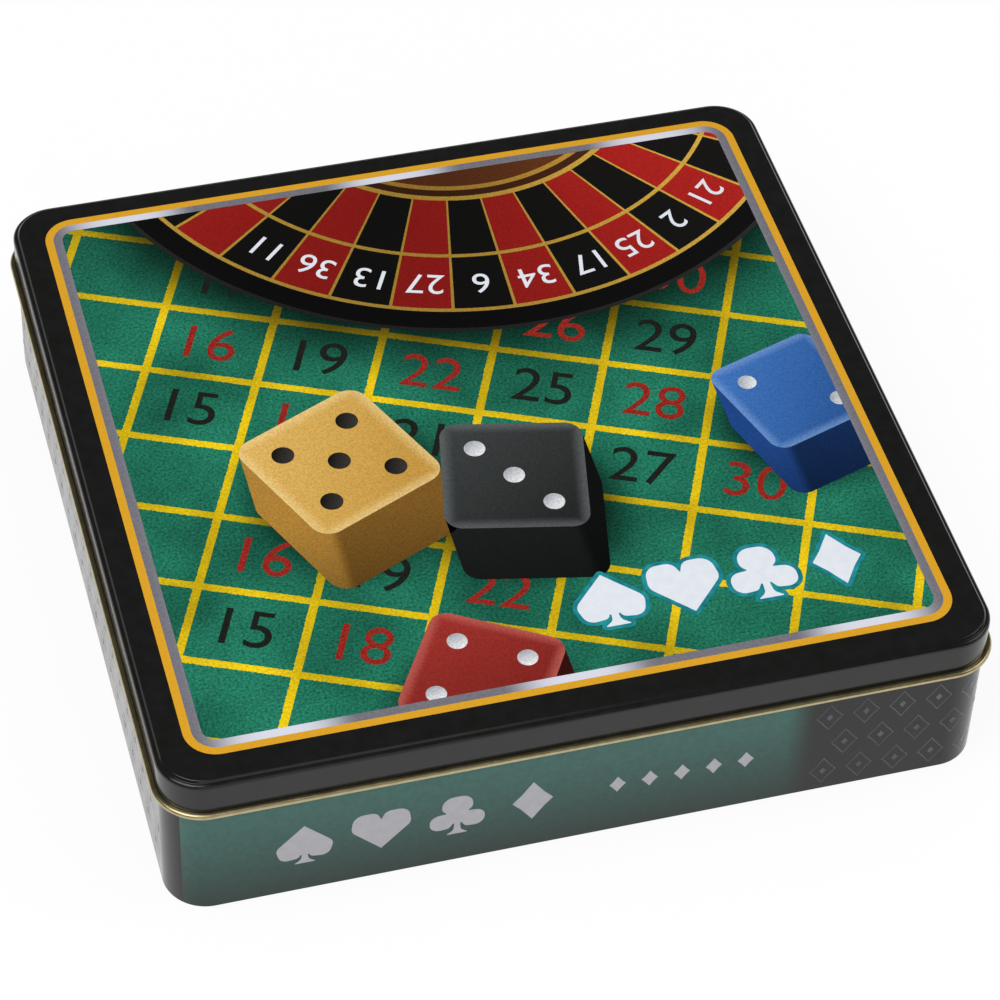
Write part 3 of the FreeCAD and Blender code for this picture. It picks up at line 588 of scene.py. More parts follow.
# Pressed soda glass, and the inks that are fired on it
CLEAR_GLASS = Finish("clear_soda_glass", "#f7faf9", "#eff5f3", 0.025, 9 * MM, smudge=0.01, ior=1.52,
                     transmission=1.0)
RED_ENAMEL = Finish("red_fired_enamel", "#c5191c", "#a81215", 0.18, 7 * MM)
BLACK_ENAMEL = Finish("black_fired_enamel", "#1b1b1d", "#111113", 0.18, 7 * MM)
GREEN_FELT = LinedFelt("betting_felt", "#23735a", "#175240", 0.95, 1.1 * MM, relief=0.2 * MM, sheen=0.3,
                       first=(37.5 * MM, 30 * MM))
# Polystyrene chips, satin from the mould
CHIP_YELLOW = Finish("yellow_chip_polystyrene", "#d8aa44", "#cc9e3c", 0.38, 2 * MM)
CHIP_BLACK = Finish("black_chip_polystyrene", "#292b2c", "#222425", 0.38, 2 * MM)
CHIP_BLUE = Finish("blue_chip_polystyrene", "#215197", "#1c498b", 0.38, 2 * MM)
CHIP_RED = Finish("red_chip_polystyrene", "#a12a24", "#94241f", 0.38, 2 * MM)
# Print of the number ring: sectors between two gold edges
RING_INK = WheelColours(
    "number_ring_ink", "#ffffff", "#d8d8d8", grain=2 * MM, lead=0.0,
    rings=((0.0, "#d9ad45"), (0.845, "#141312"), (0.982, "#d9ad45"), (1.0, "#d9ad45")),
    sector_bands=((0.0, "#000000"), (0.845, "#ffffff"), (0.982, "#000000"), (1.0, "#000000")))


# Lines, surfaces and pieces

def unit_runs(corners: Points) -> Points:
    """The directions from each corner of a line to the next, one long."""
    runs = np.diff(corners, axis=0)
    return runs / np.linalg.norm(runs, axis=1)[:, None]


def rounded_line(points: list[Span] | Points, radii: list[float], steps: int) -> Points:
    """A line of points whose inner corners are arcs.

    The arc starts radius times the tangent of half the turn before its corner. Its centre lies one
    radius to the side that the line turns to, and its points turn evenly round that centre.

    Args:
        points: the corners of the line.
        radii: one radius per inner corner, or 0 for a sharp one.
        steps: parts of each arc.

    Returns:
        The points of the line, in rows.
    """
    corners = np.array(points, dtype=float)
    runs = unit_runs(corners)
    line = [corners[:1]]
    for corner, way_in, way_out, radius in zip(corners[1:-1], runs[:-1], runs[1:], radii):
        turn = math.atan2(way_in[0] * way_out[1] - way_in[1] * way_out[0], way_in @ way_out)
        side = np.array([-way_in[1], way_in[0]]) * math.copysign(radius, turn)
        centre = corner - way_in * radius * math.tan(abs(turn) / 2) + side
        angles = np.linspace(0.0, turn, steps + 1 if radius else 1)
        turned_x = -side[0] * np.cos(angles) + side[1] * np.sin(angles)
        turned_y = -side[0] * np.sin(angles) - side[1] * np.cos(angles)
        line.append(centre + np.stack([turned_x, turned_y], axis=1))
    line.append(corners[-1:])
    return np.concatenate(line)


def sheet_sides(points: list[Span], radii: list[float], thickness: float,
                steps: int) -> tuple[Points, Points]:
    """The two faces of a bent sheet: one follows the points, the other lies to the left of them.

    Each point of the far face is moved along the sum of the normals of its two runs, over one plus
    their product, which keeps the sheet's thickness at a mitred corner. A far radius is the near one
    less the thickness where the line turns left, and plus the thickness where it turns right.

    Args:
        points: the corners of the near face.
        radii: one radius per inner corner.
        thickness: the sheet's thickness.
        steps: parts of each arc.

    Returns:
        The near and the far line.
    """
    corners = np.array(points, dtype=float)
    runs = unit_runs(corners)
    normals = np.stack([-runs[:, 1], runs[:, 0]], axis=1)
    before = np.concatenate([normals[:1], normals])
    after = np.concatenate([normals, normals[-1:]])
    spread = 1 + np.sum(before * after, axis=1)
    moved = corners + (before + after) * (thickness / spread)[:, None]
    turns = runs[:-1, 0] * runs[1:, 1] - runs[:-1, 1] * runs[1:, 0]
    far_radii = np.maximum(np.array(radii) - np.sign(turns) * thickness, 0.0)
    return rounded_line(points, radii, steps), rounded_line(moved, far_radii.tolist(), steps)


def grid_faces(rows: int, columns: int, close_rows: bool = False, close_columns: bool = False) -> np.ndarray:
    """Quads between neighbouring points of a grid, whose point number is row times columns plus column.

    Args:
        rows: rows of the grid.
        columns: points in a row.
        close_rows: whether the last row joins the first.
        close_columns: whether the last column joins the first.

    Returns:
        Four point numbers for each quad, row after row.
    """
    row, column = np.meshgrid(np.arange(rows if close_rows else rows - 1),
                              np.arange(columns if close_columns else columns - 1), indexing="ij")
    next_row = (row + 1) % rows
    next_column = (column + 1) % columns
    corners = [row * columns + column, next_row * columns + column,
               next_row * columns + next_column, row * columns + next_column]
    return np.stack(corners, axis=-1).reshape(-1, 4)


def swept(line: Points, centres: Points, angles: np.ndarray) -> Points:
    """A line set up at each centre: x and y are the centre plus a distance times cosine and sine.

    Args:
        line: distance and height in rows.
        centres: where each copy of the line starts, in rows.
        angles: the direction of each copy.

    Returns:
        The points, one row of the line's length per copy.
    """
    x = centres[:, :1] + np.outer(np.cos(angles), line[:, 0])
    y = centres[:, 1:] + np.outer(np.sin(angles), line[:, 0])
    z = np.broadcast_to(line[:, 1], x.shape)
    return np.stack([x, y, z], axis=-1).reshape(-1, 3)


def turned(line: Points, steps: int, centre: Span = (0.0, 0.0)) -> Points:
    """A line of radii and heights turned in even steps round an upright axis."""
    return swept(line, np.array([centre]), np.arange(steps) * FULL_TURN / steps)


@dataclass(frozen=True)
class SquarePath:
    """The way round the tin: four straight sides, and four arcs about points that lie reach from the middle.

    It starts at the left end of the front and goes on to the right.
    """

    reach: float
    radius: float
    steps: int = 20

    @property
    def lap(self) -> float:
        """The length of one side and one corner."""
        return 2 * self.reach + QUARTER_TURN * self.radius

    def stations(self) -> tuple[Points, np.ndarray, np.ndarray]:
        """Centres, directions and lengths along the way, with the start repeated at the end.

        Returns:
            The corner's centre, the direction outwards and the way from the middle of the front.
        """
        signs = np.roll(CORNER_SIGNS, 1, axis=0)
        quarters = np.arange(len(signs))[:, None]
        bend = np.linspace(0.0, QUARTER_TURN, self.steps + 1)[None, :]
        angles = (quarters - 1) * QUARTER_TURN + bend
        lengths = quarters * self.lap + 2 * self.reach + bend * self.radius
        centres = np.repeat(signs * self.reach, self.steps + 1, axis=0)
        centres = np.concatenate([[(-self.reach, -self.reach)], centres])
        angles = np.concatenate([[-QUARTER_TURN], angles.ravel()])
        return centres, angles, np.concatenate([[0.0], lengths.ravel()]) - self.reach

    def carry(self, line: Points) -> Points:
        """A line of distances and heights carried along the way, at right angles to it."""
        centres, angles, _ = self.stations()
        return swept(line, centres, angles)

    def wrap(self, flat: Points) -> Points:
        """Lays flat points on the way: x goes along it, y up, and z out from it.

        A place on a side stays straight. A place on a corner turns by its way past the side, over the
        radius. Each quarter is then turned by a right angle per side that is passed.

        Args:
            flat: points from the middle of the front, in rows.

        Returns:
            The points in space.
        """
        way = flat[:, 0] + self.reach
        quarter = np.floor(way / self.lap)
        left = way - quarter * self.lap
        bend = np.maximum(left - 2 * self.reach, 0.0) / self.radius
        along = np.minimum(left, 2 * self.reach) - self.reach
        out = self.radius + flat[:, 2]
        x = along + out * np.sin(bend)
        y = -self.reach - out * np.cos(bend)
        turn = quarter * QUARTER_TURN
        return np.stack([x * np.cos(turn) - y * np.sin(turn), x * np.sin(turn) + y * np.cos(turn),
                         flat[:, 1]], axis=1)


def new_piece(name: str, points: Points, faces: np.ndarray | Faces, flat_places: Points | None = None,
              smooth_below: float | None = 40.0) -> Piece:
    """Makes an object of one mesh, with doubles merged and all faces pointing outwards.

    Args:
        name: the piece's name.
        points: its points in rows, in metres.
        faces: point numbers of each face.
        flat_places: one UV place per point.
        smooth_below: edges that bend less than this many degrees are shaded smooth.

    Returns:
        The object, linked to the scene.
    """
    mesh = bpy.data.meshes.new(name)
    mesh.from_pydata(np.asarray(points).tolist(), [], [tuple(face) for face in faces])
    if flat_places is not None:
        corners = np.empty(len(mesh.loops), dtype=np.int32)
        mesh.loops.foreach_get("vertex_index", corners)
        layer = mesh.uv_layers.new(name="flat_place")
        layer.uv.foreach_set("vector", np.asarray(flat_places)[corners].astype(np.float32).ravel())
    work = bmesh.new()
    work.from_mesh(mesh)
    bmesh.ops.remove_doubles(work, verts=work.verts, dist=MERGE_DISTANCE)
    bmesh.ops.dissolve_degenerate(work, edges=work.edges, dist=MERGE_DISTANCE)
    bmesh.ops.recalc_face_normals(work, faces=work.faces)
    work.to_mesh(mesh)
    work.free()
    if smooth_below is not None:
        mesh.polygons.foreach_set("use_smooth", np.ones(len(mesh.polygons), dtype=bool))
        mesh.set_sharp_from_angle(angle=math.radians(smooth_below))
    piece = bpy.data.objects.new(name, mesh)
    bpy.context.scene.collection.objects.link(piece)
    return piece


def dress(piece: Piece, body: str, slot: str, *finishes: Finish, replaces: str | None = None) -> None:
    """Gives a piece its finishes and its body, and reports it.

    Args:
        piece: the piece.
        body: the body that it moves with.
        slot: the record's material slot; not used.
        finishes: its finishes, in the order of its faces' material numbers.
        replaces: the CAD node that it stands for.
    """
    for finish in finishes:
        piece.data.materials.append(finish.make())
    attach(piece, body)
    if replaces:
        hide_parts(replaces)
    log.info("%s rides on %s, %d faces", piece.name, body, len(piece.data.polygons))


# Flat prints

def flat_mesh(curve: bpy.types.Curve) -> Layer:
    """Fills a flat curve or a text as a closed layer.

    Args:
        curve: the curve, in millimetres.

    Returns:
        The layer's points in rows, and the point numbers of its faces.
    """
    curve.extrude = LAYER / 2
    holder = bpy.data.objects.new(curve.name, curve)
    mesh = bpy.data.meshes.new_from_object(holder)
    points = np.empty(len(mesh.vertices) * 3, dtype=np.float32)
    mesh.vertices.foreach_get("co", points)
    faces = [tuple(polygon.vertices) for polygon in mesh.polygons]
    bpy.data.objects.remove(holder)
    bpy.data.curves.remove(curve)
    bpy.data.meshes.remove(mesh)
    return points.reshape(-1, 3).astype(float), faces


def filled(outlines: list[Outline]) -> Layer:
    """A closed flat layer between outlines, where an outline inside another one is a hole.

    Args:
        outlines: closed lines, in millimetres.

    Returns:
        The layer.
    """
    curve = bpy.data.curves.new("outline", "CURVE")
    curve.dimensions = "2D"
    curve.fill_mode = "BOTH"
    for outline in outlines:
        spline = curve.splines.new("POLY")
        spline.points.add(len(outline) - 1)
        places = np.zeros((len(outline), 4))
        places[:, :2] = outline
        spline.points.foreach_set("co", places.ravel())
        spline.use_cyclic_u = True
    return flat_mesh(curve)


def joined(layers: list[Layer]) -> Layer:
    """Several layers as one list of points and one of faces.

    Args:
        layers: points and faces of each layer.

    Returns:
        All points, and all faces with their point numbers moved on.
    """
    starts = np.cumsum([0] + [len(points) for points, _ in layers])
    faces = [tuple(number + start for number in face)
             for start, (_, layer_faces) in zip(starts, layers) for face in layer_faces]
    return np.concatenate([points for points, _ in layers]), faces


def placed(outline: Points, turn: float, x: float, y: float) -> Points:
    """Flat points turned and moved.

    Args:
        outline: points whose first two values are their place.
        turn: angle of the turn.
        x: move along x.
        y: move along y.

    Returns:
        The points, with any third value kept.
    """
    moved = np.array(outline, dtype=float)
    moved[:, 0] = outline[:, 0] * math.cos(turn) - outline[:, 1] * math.sin(turn) + x
    moved[:, 1] = outline[:, 0] * math.sin(turn) + outline[:, 1] * math.cos(turn) + y
    return moved


def lettered(text: str, size: float) -> Layer:
    """A closed flat layer in the shape of a number, centred on its own middle.

    Args:
        text: the number.
        size: its height of type, in millimetres.

    Returns:
        The layer.
    """
    curve = bpy.data.curves.new("number", "FONT")
    curve.body = text
    curve.size = size
    points, faces = flat_mesh(curve)
    return points - (points.min(axis=0) + points.max(axis=0)) / 2, faces


def numbers_by_ink(cells: list[tuple[int, bool, float, float]], size: float,
                   turn: float = 0.0) -> dict[Finish, Layer]:
    """Numbers in cells, as one layer of red ones and one of black ones.

    Args:
        cells: the number of each cell, whether it is red, and the place of the cell's middle.
        size: the height of type, in millimetres.
        turn: angle of the numbers.

    Returns:
        The layers by ink, red first.
    """
    layers: dict[Finish, list[Layer]] = {RED_INK: [], BLACK_INK: []}
    for number, red, x, y in cells:
        points, faces = lettered(str(number), size)
        layers[RED_INK if red else BLACK_INK].append((placed(points, turn, x, y), faces))
    return {ink: joined(found) for ink, found in layers.items()}


def wheel_numbers(ring: float, size: float, lead: float) -> list[tuple[float, float, Layer]]:
    """The wheel's numbers clockwise round a ring, with their heads outwards.

    Args:
        ring: the ring's radius, in millimetres.
        size: the height of type.
        lead: how far past the angle 0 the first number lies, in sectors.

    Returns:
        Each number's place and layer.
    """
    numbers = []
    for place, number in enumerate(WHEEL_ORDER):
        angle = -(place + lead) * SECTOR
        x = ring * math.cos(angle)
        y = ring * math.sin(angle)
        points, faces = lettered(str(number), size)
        numbers.append((x, y, (placed(points, angle - QUARTER_TURN, x, y), faces)))
    return numbers


def rounded_square(half: float, radius: float, steps: int = 12) -> Outline:
    """The outline of a square with round corners: each direction gives a corner's centre plus a radius.

    Args:
        half: half of the square's width.
        radius: the corners' radius.
        steps: parts of each corner.

    Returns:
        The outline's points.
    """
    bend = np.linspace(0.0, QUARTER_TURN, steps + 1)[None, :]
    angles = np.arange(len(CORNER_SIGNS))[:, None] * QUARTER_TURN + bend
    x = CORNER_SIGNS[:, :1] * (half - radius) + radius * np.cos(angles)
    y = CORNER_SIGNS[:, 1:] * (half - radius) + radius * np.sin(angles)
    return np.stack([x.ravel(), y.ravel()], axis=1)


def circle(radius: float, x: float = 0.0, y: float = 0.0, steps: int = 96) -> Outline:
    """The outline of a circle about a point, in even steps."""
    angles = np.arange(steps) * FULL_TURN / steps
    return np.stack([x + radius * np.cos(angles), y + radius * np.sin(angles)], axis=1)


def trimmed(outline: Outline, half: float) -> Outline:
    """A convex outline cut off at the four sides of a square about the origin.

    At each side, points inside it stay, and an edge that crosses it gets a point where its two depths
    are in proportion to the two parts of the edge.

    Args:
        outline: the outline's points.
        half: half of the square's width.

    Returns:
        The outline that is left, which may have no points.
    """
    for normal in np.array([(1, 0), (-1, 0), (0, 1), (0, -1)], dtype=float):
        depth = half - outline @ normal
        depth_after = np.roll(depth, -1)
        inside = depth >= 0
        crossing = inside != (depth_after >= 0)
        share = depth / np.where(crossing, depth - depth_after, 1.0)
        meets = outline + (np.roll(outline, -1, axis=0) - outline) * share[:, None]
        outline = np.stack([outline, meets], axis=1)[np.stack([inside, crossing], axis=1)]
    return outline


def finer(outline: Outline, longest: float) -> Outline:
    """An outline whose edges are divided evenly, so that a bent wall can carry it.

    Args:
        outline: the outline's points.
        longest: the greatest length of an edge.

    Returns:
        The outline with more points.
    """
    edges = np.roll(outline, -1, axis=0) - outline
    counts = np.ceil(np.linalg.norm(edges, axis=1) / longest).astype(int)
    share = np.concatenate([np.arange(count) / count for count in counts])
    return np.repeat(outline, counts, axis=0) + np.repeat(edges, counts, axis=0) * share[:, None]


def halo_round(outline: Outline, width: float, steps: int = 240) -> Outline:
    """An outline that lies outside the given one by a width, seen from the point 0, 0 inside it.

    In each direction it goes as far as the farthest of the discs of that radius along the outline.

    Args:
        outline: the outline's points.
        width: the halo's width.
        steps: directions.

    Returns:
        The halo's outline.
    """
    ways = circle(1.0, steps=steps)
    points = finer(outline, width / 3)
    along = points @ ways.T
    across = np.outer(points[:, 0], ways[:, 1]) - np.outer(points[:, 1], ways[:, 0])
    reach = np.where(np.abs(across) < width, along + np.sqrt(np.maximum(width ** 2 - across ** 2, 0.0)), 0.0)
    return ways * reach.max(axis=0)[:, None]


class Suit(Enum):
    """The four suits of playing cards, each as the right half of its outline with the corners' radii.

    A half goes from the bottom of the middle line to its top, in a square from -1 to 1.
    """

    SPADE = (((0.0, -1.0), (0.4, -1.0), (0.13, -0.8), (0.09, -0.38), (0.22, -0.7), (0.86, -0.78),
              (1.04, -0.08), (0.0, 1.0)), (0.02, 0.25, 0.03, 0.2, 0.34, 0.36))
    HEART = (((0.0, -1.0), (1.08, 0.14), (0.98, 0.96), (0.16, 0.96), (0.0, 0.56)), (0.42, 0.42, 0.32))
    CLUB = (((0.0, -1.0), (0.4, -1.0), (0.13, -0.8), (0.1, -0.34), (0.3, -0.66), (0.98, -0.72), (1.0, 0.1),
             (0.34, 0.16), (0.56, 0.3), (0.54, 1.0), (0.0, 1.0)),
            (0.02, 0.25, 0.03, 0.18, 0.36, 0.36, 0.03, 0.32, 0.44))
    DIAMOND = (((0.0, -1.0), (0.42, -0.38), (0.74, 0.0), (0.42, 0.38), (0.0, 1.0)), (0.6, 0.02, 0.6))

    def outline(self, height: float, steps: int = 6) -> Outline:
        """The whole outline: its right half, and that half's mirror image in reverse order.

        Args:
            height: the suit's height.
            steps: parts of each arc.

        Returns:
            The outline's points.
        """
        points, radii = self.value
        half = rounded_line(points, radii, steps) * (height / 2)
        return np.concatenate([half, half[-2:0:-1] * np.array([-1.0, 1.0])])


# The tin

@dataclass(frozen=True)
class TinSizes:
    """Sizes that the lid, the wall and the prints on them share."""

    half: float
    height: float
    corner_radius: float = 18.0 * MM
    sheet: float = 0.3 * MM
    lid_depth: float = 18.0 * MM
    step_height: float = 1.0 * MM
    step_run: float = 0.95 * MM
    step_round: float = 0.45 * MM
    shoulder_radius: float = 1.8 * MM
    clearance: float = 0.35 * MM
    seat_gap: float = 0.3 * MM
    curl_radius: float = 1.25 * MM
    curl_mouth: float = 0.15 * MM
    fold_gap: float = 0.1 * MM
    fold_height: float = 2.2 * MM
    floor_height: float = 3.3 * MM
    seam_width: float = 6.0 * MM
    seam_depth: float = 0.5 * MM
    seam_round: float = 0.3 * MM
    arc_steps: int = 8

    @classmethod
    def from_frame(cls) -> "TinSizes":
        """Takes the lid's width and height from the frame; the curl stands out by its width less a sheet."""
        _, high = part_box("lid")
        return cls(half=high.x - 2 * cls.curl_radius + cls.sheet, height=high.z)

    @property
    def reach(self) -> float:
        """The way from the middle to a corner's centre, along each side."""
        return self.half - self.corner_radius

    @property
    def wall_radius(self) -> float:
        """The corner radius of the wall's outer face."""
        return self.corner_radius - self.sheet - self.clearance

    @property
    def wall_path(self) -> SquarePath:
        """The way round the wall's outer face."""
        return SquarePath(self.reach, self.wall_radius)


def face_rows(piece: Piece) -> tuple[Points, Points]:
    """Centres and normals of a piece's faces.

    Args:
        piece: the piece.

    Returns:
        The centres and the normals, in rows.
    """
    polygons = piece.data.polygons
    rows = np.empty((2, len(polygons) * 3), dtype=np.float32)
    polygons.foreach_get("center", rows[0])
    polygons.foreach_get("normal", rows[1])
    return rows[0].reshape(-1, 3), rows[1].reshape(-1, 3)


def part_finishes(piece: Piece, first: np.ndarray) -> None:
    """Gives the chosen faces the first finish and the rest the second one, and evens the normals out."""
    piece.data.polygons.foreach_set("material_index", np.where(first, 0, 1).astype(np.int32))
    piece.modifiers.new("even_normals", "WEIGHTED_NORMAL").keep_sharp = True


@dataclass(frozen=True)
class Lid:
    """The pressed lid: panel, step, shoulder, skirt and curl."""

    tin: TinSizes

    def build(self) -> None:
        """Carries the section, from the curl's mouth to the panel, round the square and closes the panel.

        What faces out or up above the curl is lacquered black, and the rest is left in gold lacquer.
        """
        tin = self.tin
        skirt = tin.corner_radius
        foot = skirt - tin.shoulder_radius
        curl = tin.curl_radius - tin.sheet
        low = tin.height - tin.lid_depth + tin.sheet
        high = low + 2 * curl
        out = skirt + 2 * curl
        shoulder = tin.height - tin.step_height
        corners = [(skirt + tin.curl_mouth, high), (out, high), (out, low), (skirt, low), (skirt, shoulder),
                   (foot, shoulder), (foot - tin.step_run, tin.height), (0.0, tin.height)]
        radii = [curl] * 3 + [tin.shoulder_radius, tin.step_round, tin.step_round + tin.sheet]
        near, far = sheet_sides(corners, radii, tin.sheet, tin.arc_steps)
        line = np.concatenate([near[::-1], far])
        path = SquarePath(tin.reach, tin.corner_radius)
        points = path.carry(line)
        faces = grid_faces(len(points) // len(line), len(line))
        panel = (1 + np.arange(len(CORNER_SIGNS)) * (path.steps + 1)) * len(line)
        plates = np.stack([panel, panel + len(line) - 1])
        piece = new_piece("lid_shell", points, np.concatenate([faces, plates]))
        centres, normals = face_rows(piece)
        outward = np.sum(centres[:, :2] * normals[:, :2], axis=1) + normals[:, 2]
        curl_top = tin.height - tin.lid_depth + 2 * tin.curl_radius
        part_finishes(piece, (outward > 0) & (centres[:, 2] > curl_top))
        dress(piece, "lid", "black_lacquer", BLACK_LACQUER, GOLD_LACQUER, replaces="lid")


@dataclass(frozen=True)
class Wall:
    """The tin's wall: fold at its foot, straight printed side, and curl at its mouth."""

    tin: TinSizes

    def build(self) -> None:
        """Carries the wall's closed section round the square, prints its outer face and lacquers the rest."""
        tin = self.tin
        outside = tin.wall_radius
        top = tin.height - tin.step_height - tin.sheet - tin.seat_gap
        fold_inside = outside - 3 * tin.sheet - 2 * tin.fold_gap
        curl_inside = outside - 2 * tin.curl_radius
        curl_low = top - 2 * tin.curl_radius
        mouth = outside - tin.sheet - tin.curl_mouth
        corners = [(fold_inside, tin.fold_height), (fold_inside, 0.0), (outside, 0.0), (outside, top),
                   (curl_inside, top), (curl_inside, curl_low), (mouth, curl_low)]
        radii = [tin.sheet + tin.fold_gap] * 2 + [tin.curl_radius] * 3
        near, far = sheet_sides(corners, radii, tin.sheet, tin.arc_steps)
        line = np.concatenate([near, far[::-1]])
        path = tin.wall_path
        points = path.carry(line)
        _, _, lengths = path.stations()
        flat_places = np.stack([np.repeat(lengths, len(line)), points[:, 2]], axis=1)
        faces = grid_faces(len(lengths), len(line), close_columns=True)
        piece = new_piece("wall_shell", points, faces, flat_places)
        centres, normals = face_rows(piece)
        outward = np.sum(centres[:, :2] * normals[:, :2], axis=1)
        beyond = np.maximum(np.abs(centres[:, :2]) - tin.reach, 0.0)
        near_face = np.linalg.norm(beyond, axis=1) > tin.wall_radius - tin.sheet
        part_finishes(piece, (outward > 0) & near_face)
        ink = FadedInk("green_to_black_offset_ink", "#32645c", "#0f0d0f", grain=2.5 * MM, repeat=2 * path.lap)
        dress(piece, "base", "printed_tinplate", ink, GOLD_LACQUER, replaces="tin_wall")
        self.seam(curl_low - tin.curl_radius)

    def seam(self, top: float) -> None:
        """The flat lock inside the back, where the sheet's ends hook together: a round-edged strip.

        Args:
            top: the height of its upper end.
        """
        tin = self.tin
        half = tin.seam_width / 2
        inside = tin.reach + tin.wall_radius - tin.sheet
        back = inside + tin.sheet / 2
        face = inside - tin.seam_depth
        line = rounded_line([(half, back), (half, face), (-half, face), (-half, back)], [tin.seam_round] * 2,
                            tin.arc_steps)
        low = np.column_stack([line, np.full(len(line), tin.floor_height + tin.fold_gap)])
        high = np.column_stack([line, np.full(len(line), top)])
        sides = [tuple(face) for face in grid_faces(2, len(line), close_columns=True).tolist()]
        ends = [tuple(range(len(line))), tuple(range(len(line), 2 * len(line)))]
        piece = new_piece("wall_seam", np.concatenate([low, high]), sides + ends)
        dress(piece, "base", "printed_tinplate", GOLD_LACQUER)


class DieColour(Enum):
    """The dice of the lid's print: edge, light and dark tone of the top face, and tone of each side."""

    IVORY = ("#f3d795", "#e0b45e", "#c2933f", "#b08236", "#7d5820")
    BLACK = ("#6b6f70", "#3c3f3f", "#202222", "#191b1b", "#0a0b0b")
    BLUE = ("#7ea3d8", "#3f74bd", "#23508f", "#1d4586", "#102a54")
    RED = ("#c96a60", "#9c2f28", "#701b17", "#5e1814", "#320b0a")

    def inks(self) -> tuple[Finish, Finish, Finish]:
        """Mixes the die's inks. The pips are black on the pale die alone.

        Returns:
            The inks of the sides, of the top face and of the pips.
        """
        edge, light, dark, left, right = self.value
        name = self.name.lower()
        sides = TwoSides(f"{name}_die_side_ink", left, right)
        top = LitFace(f"{name}_die_top_ink", light, dark, edge=edge)
        return sides, top, BLACK_PIP_INK if self is DieColour.IVORY else WHITE_PIP_INK


@dataclass(frozen=True)
class Die:
    """One die of the print, seen from above and a little from the front, in millimetres."""

    colour: DieColour
    x: float
    y: float
    half: float
    turn: float
    depth: float
    pips: int
    round_share: float = 0.26
    pip_share: float = 0.15
    pip_step_share: float = 0.52
    hull_ways: int = 120

    def top_outline(self) -> Outline:
        """The rounded square of the top face."""
        square = rounded_square(self.half, self.half * self.round_share)
        return placed(square, math.radians(self.turn), self.x, self.y)

    def side_outline(self) -> Outline:
        """The hull of the top face and of its copy that is moved down by the depth.

        Returns:
            The outline's points.
        """
        top = self.top_outline()
        both = np.concatenate([top, top - np.array([0.0, self.depth])])
        return both[np.argmax(both @ circle(1.0, steps=self.hull_ways).T, axis=0)]

    def edge_top(self) -> Points:
        """The lowest point of the top face, where the edge between the two sides starts."""
        top = self.top_outline()
        return top[np.argmin(top[:, 1])]

    def face_places(self, points: Points, x: float, y: float) -> Points:
        """Places seen from a point on the face, along the die's own sides."""
        return placed(points[:, :2] - np.array([x, y]), -math.radians(self.turn), 0.0, 0.0)

    def pip_places(self) -> Points:
        """The pips' places on the face: the usual corners, middles and centre for each count.

        Returns:
            The places in rows.
        """
        step = self.half * self.pip_step_share
        corners = [(-step, step), (step, -step), (step, step), (-step, -step), (-step, 0.0), (step, 0.0)]
        odd = self.pips % 2
        places = np.array(corners[:self.pips - odd] + [(0.0, 0.0)] * odd)
        return placed(places, math.radians(self.turn), self.x, self.y)


class Coat(IntEnum):
    """The coats of the lid's print by the number of coats that lie under them."""

    BAIZE = 0
    NUMBERS = 2
    WHEEL = 3
    WHEEL_NUMBERS = 4
    DIE_SIDES = 5
    DIE_TOP = 6
    PIPS = 7
    HALOS = 7
    SUITS = 8
    LINES = 9


